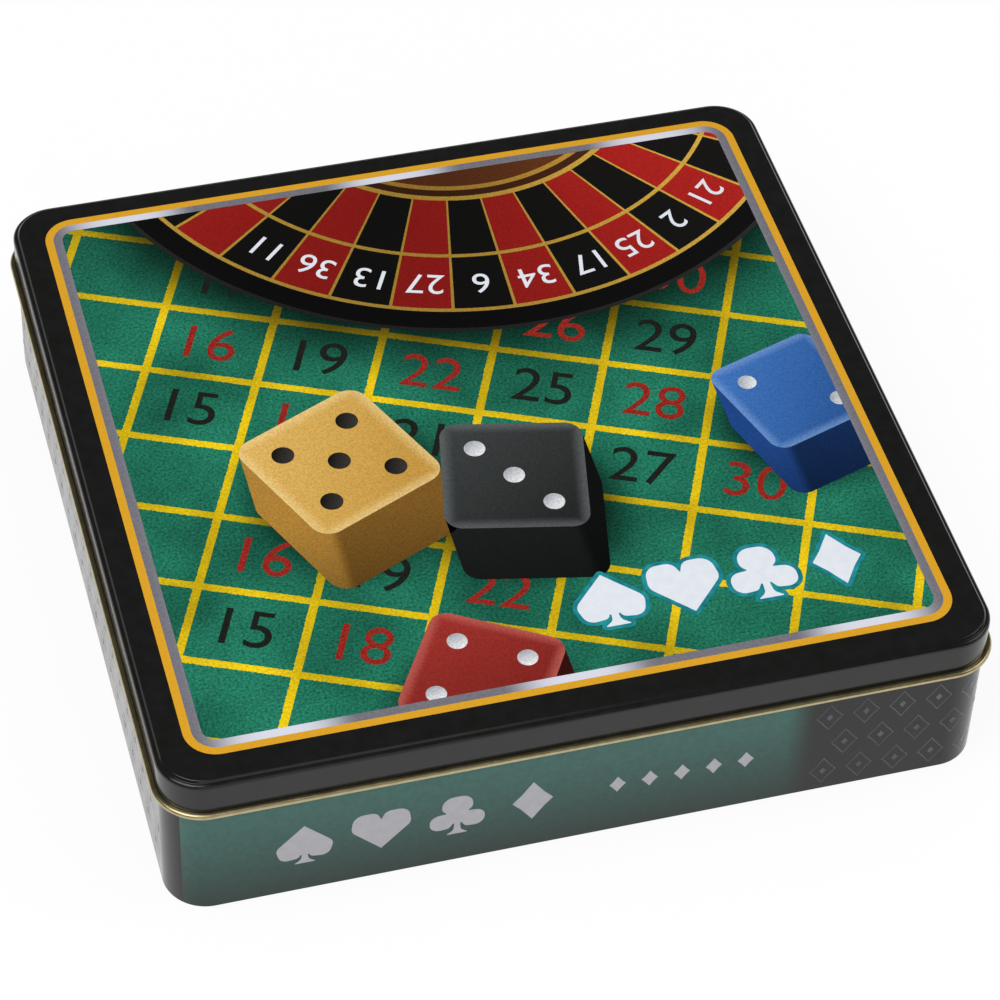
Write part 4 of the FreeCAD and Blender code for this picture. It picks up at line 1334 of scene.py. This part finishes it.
@dataclass(frozen=True)
class LidPrint:
    """The picture on the panel: gold and silver lines round a baize table with a wheel, dice and suits.

    A shade's two radii are shares of the die's half width or of the wheel's radius.
    """

    tin: TinSizes
    middle_y: float = 1.1
    gold_half: float = 152.4
    gold_width: float = 3.4
    gold_corner: float = 13.0
    silver_width: float = 3.8
    under_line: float = 1.5
    grid_turn: float = math.radians(-24.0)
    grid_reach: int = 6
    grid_rows: int = 3
    cell: Span = (46.0, 38.0)
    line_width: float = 3.4
    number_size: float = 27.0
    wheel_x: float = 38.0
    wheel_y: float = 212.0
    wheel_radius: float = 168.0
    wheel_ring_share: float = 0.83
    wheel_type_share: float = 0.1
    wheel_margin_share: float = 0.07
    wheel_shade: Span = (0.97, 1.22)
    wheel_steps: int = 240
    suit_height: float = 27.0
    suit_halo: float = 1.9
    suit_x: float = 22.0
    suit_step: float = 31.0
    suit_y: float = -112.0
    pip_steps: int = 28
    die_shade: Span = (0.9, 1.75)
    die_shade_drop: float = 0.7
    dice: tuple[Die, ...] = (
        Die(DieColour.BLUE, 128.0, -18.0, 26.0, 18.0, 26.0, 2),
        Die(DieColour.RED, -36.0, -138.0, 27.0, -31.0, 26.0, 4),
        Die(DieColour.IVORY, -62.0, -14.0, 31.0, 24.0, 30.0, 5),
        Die(DieColour.BLACK, 4.0, -38.0, 29.0, -12.0, 28.0, 3),
    )

    def build(self) -> None:
        """Prints the coats from the panel up."""
        self.baize()
        self.numbers()
        self.wheel()
        for die in self.dice:
            self.die(die)
        self.suits()
        self.frame_lines()

    @property
    def field_half(self) -> float:
        """Half of the picture's width, up to the inner edge of the silver line."""
        return self.gold_half - self.gold_width - self.silver_width

    @property
    def field_edge(self) -> float:
        """Half of the width that is printed, which reaches under the silver line."""
        return self.field_half + self.under_line

    def coat(self, name: str, layer: Layer, level: Coat, finish: Finish,
             flat_places: Points | None = None) -> None:
        """Lays one coat on the panel.

        Args:
            name: the piece's name.
            layer: the coat's points and faces, in millimetres.
            level: which coat it is.
            finish: its ink.
            flat_places: its UV map, which is the place on the panel in metres if none is given.
        """
        points, faces = layer
        places = points[:, :2] * MM if flat_places is None else flat_places
        lifted = points * MM
        lifted[:, 1] += self.middle_y * MM
        lifted[:, 2] += self.tin.height + (level + 1 / 2) * LAYER * MM
        piece = new_piece(name, lifted, faces, places, smooth_below=None)
        dress(piece, "lid", "printed_tinplate", finish)

    def frame_lines(self) -> None:
        """The gold line and the silver line inside it, each between two rounded squares."""
        half = self.gold_half
        corner = self.gold_corner
        for name, width, ink in (("gold_line", self.gold_width, GOLD_INK),
                                 ("silver_line", self.silver_width, SILVER_INK)):
            edges = [rounded_square(half - inset, corner - inset) for inset in (0.0, width)]
            self.coat(name, filled(edges), Coat.LINES, ink)
            half -= width
            corner -= width

    def baize(self) -> None:
        """The ground of the picture, shaded under the wheel and beside the dice."""
        shades = [(die.x, die.y - die.depth * self.die_shade_drop,
                   *(die.half * share for share in self.die_shade)) for die in self.dice]
        shades.append((self.wheel_x, self.wheel_y,
                       *(self.wheel_radius * share for share in self.wheel_shade)))
        felt = PrintedFelt("baize_offset_ink", "#2a8a6e", "#135a44", 0.18, 1.1 * MM, ior=VARNISH_IOR,
                           line="#f9d614", worn_line="#d2b006", width=self.line_width * MM,
                           cell=(self.cell[0] * MM, self.cell[1] * MM), turn=self.grid_turn,
                           shades=tuple(tuple(value * MM for value in shade) for shade in shades))
        ground = filled([rounded_square(self.field_edge, self.under_line)])
        self.coat("printed_baize", ground, Coat.BAIZE, felt)

    def numbers(self) -> None:
        """A number in each cell that is whole and clear of the suits, red and black by turns."""
        size = np.array(self.cell)
        inner = CORNER_SIGNS * (size - self.line_width) / 2
        cells = []
        reach = self.grid_reach
        for column in range(-reach, reach + 1):
            for row in range(-reach, reach + 1):
                middle = (np.array([[column, row]]) + 1 / 2) * size
                x, y = placed(middle, self.grid_turn, 0.0, 0.0)[0]
                whole = np.abs(placed(middle + inner, self.grid_turn, 0.0, 0.0)).max() <= self.field_half
                clear = all(math.hypot(x - suit_x, y - suit_y) >= self.cell[1]
                            for _, suit_x, suit_y in self.suit_places())
                if whole and clear:
                    number = 1 + (row + reach + self.grid_rows * (column + reach)) % max(WHEEL_ORDER)
                    cells.append((number, (row + column) % 2 == 1, x, y))
        layers = numbers_by_ink(cells, self.number_size, self.grid_turn)
        self.coat("red_numbers", layers[RED_INK], Coat.NUMBERS, RED_INK)
        self.coat("black_numbers", layers[BLACK_INK], Coat.NUMBERS, BLACK_INK)

    def wheel(self) -> None:
        """A large wheel seen from above, which the top edge of the field cuts off, and its numbers."""
        disc = circle(self.wheel_radius, self.wheel_x, self.wheel_y, self.wheel_steps)
        layer = filled([trimmed(disc, self.field_edge)])
        centre = np.array([self.wheel_x, self.wheel_y, 0.0])
        places = (layer[0] - centre)[:, :2] / self.wheel_radius
        self.coat("printed_wheel", layer, Coat.WHEEL, WHEEL_INK, places)
        limit = self.field_half - self.wheel_radius * self.wheel_margin_share
        numbers = wheel_numbers(self.wheel_radius * self.wheel_ring_share,
                                self.wheel_radius * self.wheel_type_share, lead=0.0)
        shown = [(points + centre, faces) for x, y, (points, faces) in numbers
                 if max(abs(x + self.wheel_x), abs(y + self.wheel_y)) <= limit]
        self.coat("wheel_numbers", joined(shown), Coat.WHEEL_NUMBERS, WHITE_INK)

    def die(self, die: Die) -> None:
        """One die: its sides, its top face and its pips.

        Args:
            die: the die.
        """
        name = f"{die.colour.name.lower()}_die"
        side_ink, top_ink, pip_ink = die.colour.inks()
        sides = filled([trimmed(die.side_outline(), self.field_edge)])
        places = (sides[0][:, :2] - die.edge_top()) / die.depth
        self.coat(f"{name}_sides", sides, Coat.DIE_SIDES, side_ink, places)
        top = filled([trimmed(die.top_outline(), self.field_edge)])
        self.coat(f"{name}_top", top, Coat.DIE_TOP, top_ink, die.face_places(top[0], die.x, die.y) / die.half)
        radius = die.half * die.pip_share
        layers, places = [], []
        for x, y in die.pip_places():
            pip = trimmed(circle(radius, x, y, self.pip_steps), self.field_edge)
            if len(pip):
                layers.append(filled([pip]))
                places.append(die.face_places(layers[-1][0], x, y) / radius)
        self.coat(f"{name}_pips", joined(layers), Coat.PIPS, pip_ink, np.concatenate(places))

    def suit_places(self) -> list[tuple[Suit, float, float]]:
        """The suits of the row with their places."""
        return [(suit, self.suit_x + place * self.suit_step, self.suit_y) for place, suit in enumerate(Suit)]

    def suits(self) -> None:
        """A row of the four suits in white, each with a teal halo."""
        whites, halos = [], []
        for suit, x, y in self.suit_places():
            outline = suit.outline(self.suit_height)
            whites.append(placed(outline, 0.0, x, y))
            halos.append(placed(halo_round(outline, self.suit_halo), 0.0, x, y))
        self.coat("suit_halos", filled(halos), Coat.HALOS, TEAL_INK)
        self.coat("suits", filled(whites), Coat.SUITS, WHITE_INK)


@dataclass(frozen=True)
class WallPrint:
    """The small prints on the wall, drawn in millimetres along it and up from the table."""

    tin: TinSizes
    suit_height: float = 22.0
    suit_start: float = -112.0
    suit_step: float = 30.0
    bullet_height: float = 9.0
    bullet_start: float = 12.0
    bullet_step: float = 13.0
    bullets_in_row: int = 5
    middle_height: float = 27.0
    trellis_start: float = 97.0
    trellis_end: float = 166.0
    trellis_step: float = 15.0
    trellis_low: float = 11.0
    trellis_rise: float = 16.0
    trellis_rows: int = 3
    trellis_level: int = 1
    lozenge_height: float = 15.0
    lozenge_line: float = 0.7
    pip_height: float = 4.0
    pip_level: int = 4
    edge_length: float = 1.0

    def build(self) -> None:
        """Prints the front and the back alike, each with the dark stretch round the corner after it."""
        half_way = 2 * self.tin.wall_path.lap / MM
        suits = [suit.outline(self.suit_height) for suit in Suit]
        bullets = [Suit.DIAMOND.outline(self.bullet_height)] * self.bullets_in_row
        for side, start in (("front", 0.0), ("back", half_way)):
            self.row(f"{side}_suits", suits, start + self.suit_start, self.suit_step)
            self.row(f"{side}_bullets", bullets, start + self.bullet_start, self.bullet_step)
            self.trellis(side, start + self.trellis_start, start + half_way - self.trellis_end)

    def coat(self, name: str, layer: Layer, level: int, finish: Finish) -> None:
        """Wraps one coat round the wall.

        Args:
            name: the piece's name.
            layer: the coat's points and faces.
            level: coats that lie under it.
            finish: its ink.
        """
        points, faces = layer
        flat = points * MM
        flat[:, 2] += (level + 1 / 2) * LAYER * MM
        piece = new_piece(name, self.tin.wall_path.wrap(flat), faces, flat[:, :2], smooth_below=None)
        dress(piece, "base", "printed_tinplate", finish)

    def row(self, name: str, outlines: list[Outline], first: float, step: float) -> None:
        """A row of grey shapes at even steps along the wall.

        Args:
            name: the piece's name.
            outlines: the shapes.
            first: the way along the wall to the first one.
            step: the way from one to the next.
        """
        moved = [placed(outline, 0.0, first + place * step, self.middle_height)
                 for place, outline in enumerate(outlines)]
        self.coat(name, filled(moved), 0, GREY_INK)

    def trellis(self, side: str, first: float, last: float) -> None:
        """A dim trellis of lozenges with a small diamond in each, on the dark stretch after a side.

        Args:
            side: the side's name.
            first: the way along the wall to the stretch's start.
            last: the way to its end.
        """
        inner_height = self.lozenge_height - 2 * self.lozenge_line
        outer, inner, pip = (finer(Suit.DIAMOND.outline(height), self.edge_length)
                             for height in (self.lozenge_height, inner_height, self.pip_height))
        columns = int((last - first) / self.trellis_step)
        places = [(first + (column + row % 2 / 2) * self.trellis_step,
                   self.trellis_low + row * self.trellis_rise)
                  for column in range(columns) for row in range(self.trellis_rows)]
        for name, level, outlines in (("trellis", self.trellis_level, [outer, inner]),
                                      ("trellis_pips", self.pip_level, [pip])):
            points, faces = filled(outlines)
            copies = [(placed(points, 0.0, x, y), faces) for x, y in places]
            self.coat(f"{side}_{name}", joined(copies), level, DIM_INK)


# Contents

@dataclass(frozen=True)
class FoldedMat:
    """The felt mat: one cloth folded once along its width, then to and fro in three along its length."""

    flat_width: float = 600.0 * MM
    flat_length: float = 900.0 * MM
    layers: int = 3
    pitch: float = 3.0 * MM
    cloth_gap: float = 0.65 * MM
    cloth: float = 1.0 * MM
    steps: int = 12
    smooth_below: float = 60.0
    sag: float = 1.0 * MM
    wave: float = 0.25 * MM
    wave_length: float = 160.0 * MM
    number_size: float = 34.0

    def build(self) -> None:
        """Multiplies the two folds: the width's fold is laid along the normals of the length's fold."""
        low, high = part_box("game_mat")
        spread = self.cloth_gap + self.cloth / 2
        run, normal = self.to_and_fro(high.x - self.pitch / 2 - spread, high.x, (low.z + high.z) / 2)
        across, offset = self.once(high.y - spread, high.y)
        x = run[:, None, 0] + normal[:, None, 0] * offset[None, :]
        z = run[:, None, 1] + normal[:, None, 1] * offset[None, :]
        y = np.broadcast_to(across[None, :], x.shape)
        points = np.stack([x, y, z + self.dip(x, y, high.x)], axis=-1).reshape(-1, 3)
        way_long = np.concatenate([[0.0], np.cumsum(np.linalg.norm(np.diff(run, axis=0), axis=1))])
        way_wide = np.concatenate([[0.0], np.cumsum(np.hypot(np.diff(across), np.diff(offset)))])
        flat_places = np.stack(np.meshgrid(way_long, way_wide, indexing="ij"), axis=-1).reshape(-1, 2)
        faces = grid_faces(len(run), len(across))
        piece = new_piece("felt_mat", points, faces, flat_places, self.smooth_below)
        solid = piece.modifiers.new("cloth", "SOLIDIFY")
        solid.thickness = self.cloth
        solid.offset = 0.0
        dress(piece, "mat", "green_felt", GREEN_FELT, replaces="game_mat")
        numbers = self.numbers(high.x, high.z)

    def dip(self, x: np.ndarray, y: np.ndarray, half: float) -> np.ndarray:
        """How far the cloth lies from its flat place: a bowl that ends at the sides, and small waves.

        The bowl is the product of two cosines of a quarter turn at the sides.

        Args:
            x: places along x.
            y: places along y.
            half: half of the folded mat's side.

        Returns:
            The heights over the flat place.
        """
        bowl = np.cos(QUARTER_TURN * x / half) * np.cos(QUARTER_TURN * y / half)
        waves = np.sin(FULL_TURN * x / self.wave_length) * np.sin(FULL_TURN * y / self.wave_length)
        return self.wave * waves - self.sag * bowl

    def numbers(self, half: float, top: float) -> list[Piece]:
        """A number in each whole cell of the panel that lies on top, in red and in black by turns.

        Args:
            half: half of the folded mat's side.
            top: the height of the solid that the mat stands for.

        Returns:
            The two pieces.
        """
        step = np.array(GREEN_FELT.cell) / MM
        columns, rows = np.round(2 * half / MM / step).astype(int) - 1
        cells = []
        for cell in range(columns * rows):
            column, row = divmod(cell, int(rows))
            x, y = np.array([column + 1, row + 1]) * step - half / MM
            cells.append((cell + 1, (column + row) % 2 == 1, x, y))
        pieces = []
        for name, (ink, (points, faces)) in zip(("red_mat_numbers", "black_mat_numbers"),
                                                numbers_by_ink(cells, self.number_size).items()):
            points = points * MM
            points[:, 2] += top + LAYER * MM + self.dip(points[:, 0], points[:, 1], half)
            piece = new_piece(name, points, faces, smooth_below=None)
            dress(piece, "mat", "green_felt", ink)
            pieces.append(piece)
        return pieces

    def to_and_fro(self, turn_x: float, end_x: float, middle_z: float) -> tuple[Points, Points]:
        """The line of the length's folds in x and z: runs joined by half circles of half the pitch.

        Args:
            turn_x: where the half circles have their centres.
            end_x: where the first run starts and the last one ends.
            middle_z: the height of the middle layer.

        Returns:
            The line's points and its unit normals.
        """
        pieces, ways = [], []
        bend = np.linspace(-QUARTER_TURN, QUARTER_TURN, self.steps + 1)[1:-1]
        for layer in range(self.layers):
            side = 1.0 if layer % 2 == 0 else -1.0
            z = middle_z + (layer - (self.layers - 1) / 2) * self.pitch
            start = -end_x if layer == 0 else -side * turn_x
            stop = end_x if layer == self.layers - 1 else side * turn_x
            xs = np.linspace(start, stop, self.steps + 1)
            pieces.append(np.stack([xs, np.full_like(xs, z)], axis=1))
            ways.append(np.stack([np.zeros_like(xs), np.full_like(xs, side)], axis=1))
            if layer < self.layers - 1:
                centre = np.array([stop, z + self.pitch / 2])
                spokes = np.stack([side * np.cos(bend), np.sin(bend)], axis=1)
                pieces.append(centre + spokes * self.pitch / 2)
                ways.append(-spokes * side)
        return np.concatenate(pieces), np.concatenate(ways)

    def once(self, turn_y: float, end_y: float) -> tuple[np.ndarray, np.ndarray]:
        """The line of the width's fold: out, round a half circle of the cloths' gap, and back.

        Args:
            turn_y: where the half circle has its centre.
            end_y: how far the two free edges lie on the other side.

        Returns:
            The places along y, and the offsets across the folded cloth.
        """
        bend = np.linspace(-QUARTER_TURN, QUARTER_TURN, self.steps + 1)
        out = np.linspace(-end_y, turn_y, self.steps)[:-1]
        across = np.concatenate([out, turn_y + self.cloth_gap * np.cos(bend), out[::-1]])
        offset = np.concatenate([np.full_like(out, -self.cloth_gap), self.cloth_gap * np.sin(bend),
                                 np.full_like(out, self.cloth_gap)])
        return across, offset


@dataclass(frozen=True)
class NumberRing:
    """The printed ring on the wheel's number slope, and its numbers between the frets."""

    band: float = 11.4 * MM
    slope: float = 3.0 / 13.0
    thickness: float = 0.4 * MM
    sector_steps: int = 4
    number_size: float = 5.6

    def build(self) -> None:
        """Turns the ring's thin section round the axis, and lays the numbers on its slope."""
        low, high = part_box("number_ring")
        inner = high.x - self.band
        near = np.array([(inner, low.z), (high.x, low.z + self.slope * self.band)])
        normal = np.array([-self.slope, 1.0]) / math.hypot(self.slope, 1.0)
        line = np.concatenate([near, (near + normal * self.thickness)[::-1]])
        steps = self.sector_steps * len(WHEEL_ORDER)
        ring = turned(line, steps)
        faces = grid_faces(steps, len(line), close_rows=True, close_columns=True)
        piece = new_piece("number_band", ring, faces, ring[:, :2] / high.x)
        dress(piece, "rotor", "number_print", RING_INK, replaces="number_ring")
        numbers = wheel_numbers((inner + self.band / 2) / MM, self.number_size, lead=0.5)
        flat, faces = joined([layer for _, _, layer in numbers])
        points = flat * MM
        radius = np.hypot(points[:, 0], points[:, 1])
        upper = low.z + self.slope * (radius - inner) + self.thickness * math.hypot(self.slope, 1.0)
        points[:, 2] += upper + LAYER * MM
        dress(new_piece("ring_numbers", points, faces, smooth_below=None), "rotor", "number_print", WHITE_INK)


@dataclass(frozen=True)
class Glass:
    """One shot glass: clear, with a thick foot and a band of enamel that bears numbers."""

    node: str
    band_ink: Finish
    number_ink: Finish
    numbers: tuple[int, ...]
    slot: str
    draft: float = 2.5 * MM
    wall: float = 1.6 * MM
    foot: float = 5.0 * MM
    foot_round: float = 1.2 * MM
    rim_round: float = 0.7 * MM
    inner_round: float = 3.0 * MM
    band_low: float = 17.0 * MM
    band_high: float = 46.0 * MM
    band_thickness: float = 0.06 * MM
    number_size: float = 9.0
    number_height: float = 33.0 * MM
    number_lift: float = 0.12 * MM
    steps: int = 72
    arc_steps: int = 6

    def build(self) -> None:
        """Turns the glass and its band round the glass's own axis, and prints the numbers."""
        low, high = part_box(self.node)
        centre = ((low.x + high.x) / 2, (low.y + high.y) / 2)
        top = (high.x - low.x) / 2
        height = high.z - low.z
        base = top - self.draft
        inner = base + self.draft * self.foot / height - self.wall
        corners = [(0.0, 0.0), (base, 0.0), (top, height), (top - self.wall, height), (inner, self.foot),
                   (0.0, self.foot)]
        radii = [self.foot_round, self.rim_round, self.rim_round, self.inner_round]
        line = rounded_line(corners, radii, self.arc_steps)
        up = np.array([0.0, 0.0, low.z])
        piece = new_piece(f"{self.node}_clear", turned(line, self.steps, centre) + up,
                          grid_faces(self.steps, len(line), close_rows=True))
        dress(piece, self.body, self.slot, CLEAR_GLASS, replaces=self.node)
        heights = np.array([self.band_low, self.band_high, self.band_high, self.band_low])
        lifts = np.array([0.0, 0.0, self.band_thickness, self.band_thickness]) + LAYER * MM
        band = np.stack([base + self.draft * heights / height + lifts, heights], axis=1)
        piece = new_piece(f"{self.node}_band", turned(band, self.steps, centre) + up,
                          grid_faces(self.steps, len(band), close_rows=True, close_columns=True))
        dress(piece, self.body, self.slot, self.band_ink)
        outside = base + self.draft * self.number_height / height + self.band_thickness
        self.print_numbers(centre, outside, self.draft / height, low.z + self.number_height)

    @property
    def body(self) -> str:
        """The glass's own body, which has the node's name without its first word."""
        return self.node.removeprefix("shot_")

    def print_numbers(self, centre: Span, radius: float, taper: float, middle: float) -> None:
        """Wraps the numbers round the band, once facing out of the wheel and once into it.

        A flat place turns by its way along over the radius, and the radius grows by the taper with height.

        Args:
            centre: where the glass stands.
            radius: the band's radius at the numbers' middle.
            taper: how much the radius grows with height.
            middle: the height of the numbers' middle.
        """
        flat, faces = lettered("  ".join(str(number) for number in self.numbers), self.number_size)
        flat = flat * MM
        outwards = math.atan2(centre[1], centre[0])
        reach = radius + taper * flat[:, 1] + self.number_lift + flat[:, 2]
        layers = []
        for facing in (outwards, outwards + math.pi):
            turn = facing + flat[:, 0] / radius
            points = np.stack([centre[0] + reach * np.cos(turn), centre[1] + reach * np.sin(turn),
                               middle + flat[:, 1]], axis=1)
            layers.append((points, faces))
        piece = new_piece(f"{self.node}_numbers", *joined(layers), smooth_below=None)
        dress(piece, self.body, self.slot, self.number_ink)


@dataclass(frozen=True)
class ChipStack:
    """A stack of chips with milled edges, ridged faces and round recesses, laid a little unevenly."""

    colour: str
    finish: Finish
    thickness: float = 2.2 * MM
    pitch: float = 2.24 * MM
    bevel: float = 0.3 * MM
    recess_radius: float = 12.5 * MM
    recess_depth: float = 0.25 * MM
    recess_slope: float = 0.3 * MM
    plain_band: float = 1.2 * MM
    ridge_depth: float = 0.16 * MM
    mill_depth: float = 0.3 * MM
    ridges: int = 96
    shift: float = 0.2 * MM
    smooth_below: float = 25.0

    def build(self) -> None:
        """Turns one chip in zigzag steps, and lays its copies on each other with small shifts and turns."""
        node = f"chips_{self.colour}"
        low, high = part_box(node)
        line, dents = self.section((high.x - low.x) / 2)
        steps = 2 * self.ridges
        valley = np.arange(steps) % 2
        section = line[None, :, :] - dents[None, :, :] * valley[:, None, None]
        count = 1 + round((high.z - low.z - self.thickness) / self.pitch)
        draw = np.random.default_rng(len(self.colour))
        middle = np.array([(low.x + high.x) / 2, (low.y + high.y) / 2])
        faces = [tuple(face) for face in grid_faces(steps, len(line), close_rows=True).tolist()]
        layers = []
        for number in range(count):
            angles = np.arange(steps) * FULL_TURN / steps + draw.uniform(0.0, FULL_TURN)
            x, y = middle + draw.uniform(-self.shift, self.shift, 2)
            points = np.stack([x + section[..., 0] * np.cos(angles)[:, None],
                               y + section[..., 0] * np.sin(angles)[:, None],
                               section[..., 1] + low.z + number * self.pitch], axis=-1)
            layers.append((points.reshape(-1, 3), faces))
        piece = new_piece(f"{self.colour}_chip_stack", *joined(layers), smooth_below=self.smooth_below)
        dress(piece, node, f"{self.colour}_chip", self.finish, replaces=node)

    def section(self, radius: float) -> tuple[Points, Points]:
        """Half of a chip's section from the middle of its lower face to that of its upper one.

        Args:
            radius: the chip's radius.

        Returns:
            Radius and height of each point, and how far a valley of the zigzag lies below it.
        """
        foot = self.recess_radius + self.recess_slope
        lower = [(0.0, self.recess_depth), (self.recess_radius, self.recess_depth), (foot, 0.0),
                 (foot + self.plain_band, 0.0), (radius - self.bevel, 0.0), (radius, self.bevel)]
        upper = [(r, self.thickness - z) for r, z in lower[::-1]]
        dents = np.zeros((len(lower), 2))
        dents[-2] = (self.mill_depth, -self.ridge_depth)
        dents[-1] = (self.mill_depth, 0.0)
        return np.array(lower + upper), np.concatenate([dents, dents[::-1] * np.array([1.0, -1.0])])


@dataclass(frozen=True)
class Contents:
    """What lies in the tin: the printed pieces, and those that keep their construction's shape."""

    finishes: dict[str, Finish] = field(default_factory=lambda: {
        "tin_bottom": BARE_TINPLATE, "insert": BLACK_FOAM, "wheel_bowl": BLACK_MOULDING,
        "spindle": BRIGHT_STEEL, "washer": WHITE_NYLON, "rotor": SATIN_GOLD, "fret_ring": PLATED_BRASS,
        "turret": PLATED_BRASS, "ball": BALL_STEEL, "rake_handle": BLACK_BEECH,
        "rake_head": BLACK_MOULDING})
    chips: dict[str, Finish] = field(default_factory=lambda: {
        "yellow": CHIP_YELLOW, "black": CHIP_BLACK, "blue": CHIP_BLUE, "red": CHIP_RED})

    def build(self, nodes: dict[str, Piece]) -> None:
        """Builds the printed pieces and gives the other nodes their finishes.

        Args:
            nodes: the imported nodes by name.
        """
        FoldedMat().build()
        NumberRing().build()
        self.glasses(sorted(name for name in nodes if name.startswith("shot_glass")))
        for colour, finish in self.chips.items():
            ChipStack(colour, finish).build()
        for name, finish in self.finishes.items():
            materials = nodes[name].data.materials
            materials.clear()
            materials.append(finish.make())
            log.info("%s keeps its shape, in %s", name, finish.name)

    def glasses(self, names: list[str]) -> None:
        """Red and black glasses by turns, which share the wheel's red and black numbers out.

        Args:
            names: the glasses' nodes.
        """
        pairs = len(names) // 2
        for place, name in enumerate(names):
            black = place % 2
            numbers = WHEEL_ORDER[1 + black::2][place // 2::pairs]
            inks = (BLACK_ENAMEL, WHITE_INK) if black else (RED_ENAMEL, BLACK_INK)
            Glass(name, *inks, numbers, "black_glass" if black else "red_glass").build()


# Studio

@dataclass(frozen=True)
class Studio:
    """Camera at the photograph's viewing angle, white floor, and soft light at a plain level.

    Gloss mirrors a white sweep that ends between two heights, and a dark room above it. A lamp has a
    name, a place, a width and a power.
    """

    azimuth: float = math.radians(-16.924)
    elevation: float = math.radians(46.043)
    roll: float = math.radians(-2.402)
    distance: float = 1506.86 * MM
    target: tuple[float, float, float] = (-5.16 * MM, -49.0 * MM, 73.0 * MM)
    lens: float = 136.706
    floor_half: float = 6.0
    floor_gap: float = 0.1 * MM
    floor_glow: float = 0.9
    floor_tone: str = "#f4f4f4"
    sweep_end: Span = (0.02, 0.16)
    room_level: float = 0.03
    sky_level: float = 0.58
    lamps: tuple[tuple[str, tuple[float, float, float], float, float], ...] = (
        ("key", (-0.9, -0.5, 1.9), 1.4, 24.0),
        ("fill", (1.5, -0.3, 1.3), 1.2, 8.0),
        ("front", (-0.2, -1.9, 1.0), 1.2, 3.5))

    def build(self) -> None:
        """Sets up the floor, the world, the camera, and lamps that look at the middle of the floor."""
        bpy.context.scene.view_settings.view_transform = "Standard"
        self.floor()
        self.world()
        camera = bpy.data.cameras.new("camera")
        camera.lens = self.lens
        out = math.cos(self.elevation)
        back = Vector((out * math.sin(self.azimuth), -out * math.cos(self.azimuth), math.sin(self.elevation)))
        place = Vector(self.target) + back * self.distance
        bpy.context.scene.camera = self.hang(camera, place, back, self.roll)
        for name, place, size, power in self.lamps:
            lamp = bpy.data.lights.new(name, "AREA")
            lamp.size = size
            lamp.energy = power
            self.hang(lamp, Vector(place), Vector(place))

    @staticmethod
    def hang(data: bpy.types.Camera | bpy.types.Light, place: Vector, back: Vector,
             roll: float = 0.0) -> Piece:
        """Hangs a camera or a lamp in the room.

        Args:
            data: the camera or the lamp.
            place: where it hangs.
            back: the way to it from what it looks at.
            roll: how far it leans about that way.

        Returns:
            The object.
        """
        turn = (-back).to_track_quat("-Z", "Y").to_matrix() @ Matrix.Rotation(-roll, 3, "Z")
        thing = bpy.data.objects.new(data.name, data)
        thing.matrix_world = Matrix.Translation(place) @ turn.to_4x4()
        bpy.context.scene.collection.objects.link(thing)
        return thing

    def floor(self) -> None:
        """A white floor that glows for what looks straight at it, and keeps part of the object's shadow."""
        heights = np.full(len(CORNER_SIGNS), -self.floor_gap)
        points = np.column_stack([CORNER_SIGNS * self.floor_half, heights])
        piece = new_piece("studio_floor", points, [tuple(range(len(points)))], smooth_below=None)
        material = bpy.data.materials.new("white_paper_floor")
        material.use_nodes = True
        tree = material.node_tree
        tree.nodes.clear()
        rays = add(tree, "LightPath").node.outputs
        seen = add(tree, "Math", {0: rays["Is Camera Ray"], 1: rays["Is Glossy Ray"]}, operation="ADD")
        seen = add(tree, "Math", {0: seen, 1: rays["Is Transmission Ray"]}, operation="ADD", use_clamp=True)
        share = add(tree, "Math", {0: seen, 1: self.floor_glow}, operation="MULTIPLY")
        paper = add(tree, "BsdfDiffuse", {"Color": self.floor_tone})
        glow = add(tree, "Emission", {"Color": "#ffffff", "Strength": 1.0})
        add(tree, "OutputMaterial", {"Surface": add(tree, "MixShader", {0: share, 1: paper, 2: glow})})
        piece.data.materials.append(material)

    def world(self) -> None:
        """White to the eye and through glass; gloss mirrors the white sweep, and a dark room above it."""
        world = bpy.data.worlds.new("studio")
        world.use_nodes = True
        tree = world.node_tree
        tree.nodes.clear()
        way = add(tree, "TexCoord").node.outputs["Generated"]
        rise = add(tree, "SeparateXYZ", {0: way}).node.outputs["Z"]
        low, high = self.sweep_end
        mirrored = add(tree, "MapRange", {"Value": rise, "From Min": low, "From Max": high, "To Min": 1.0,
                                          "To Max": self.room_level}, interpolation_type="SMOOTHSTEP")
        rays = add(tree, "LightPath").node.outputs
        seen = add(tree, "Mix", {"Factor": rays["Is Glossy Ray"], "A": 1.0, "B": mirrored}, data_type="FLOAT")
        level = add(tree, "Mix", {"Factor": rays["Is Diffuse Ray"], "A": seen, "B": self.sky_level},
                    data_type="FLOAT")
        sky = add(tree, "Background", {"Color": "#ffffff", "Strength": level})
        add(tree, "OutputWorld", {"Surface": sky})
        bpy.context.scene.world = world


def main() -> None:
    """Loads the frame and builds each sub-assembly in order."""
    logging.basicConfig(level=logging.INFO, format="%(name)s: %(message)s")
    for known in list(bpy.data.objects):
        bpy.data.objects.remove(known)
    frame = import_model()
    tin = TinSizes.from_frame()
    Studio().build()
    Lid(tin).build()
    LidPrint(tin).build()
    Wall(tin).build()
    WallPrint(tin).build()
    Contents().build(frame["nodes"])


if __name__ == "__main__":
    main()
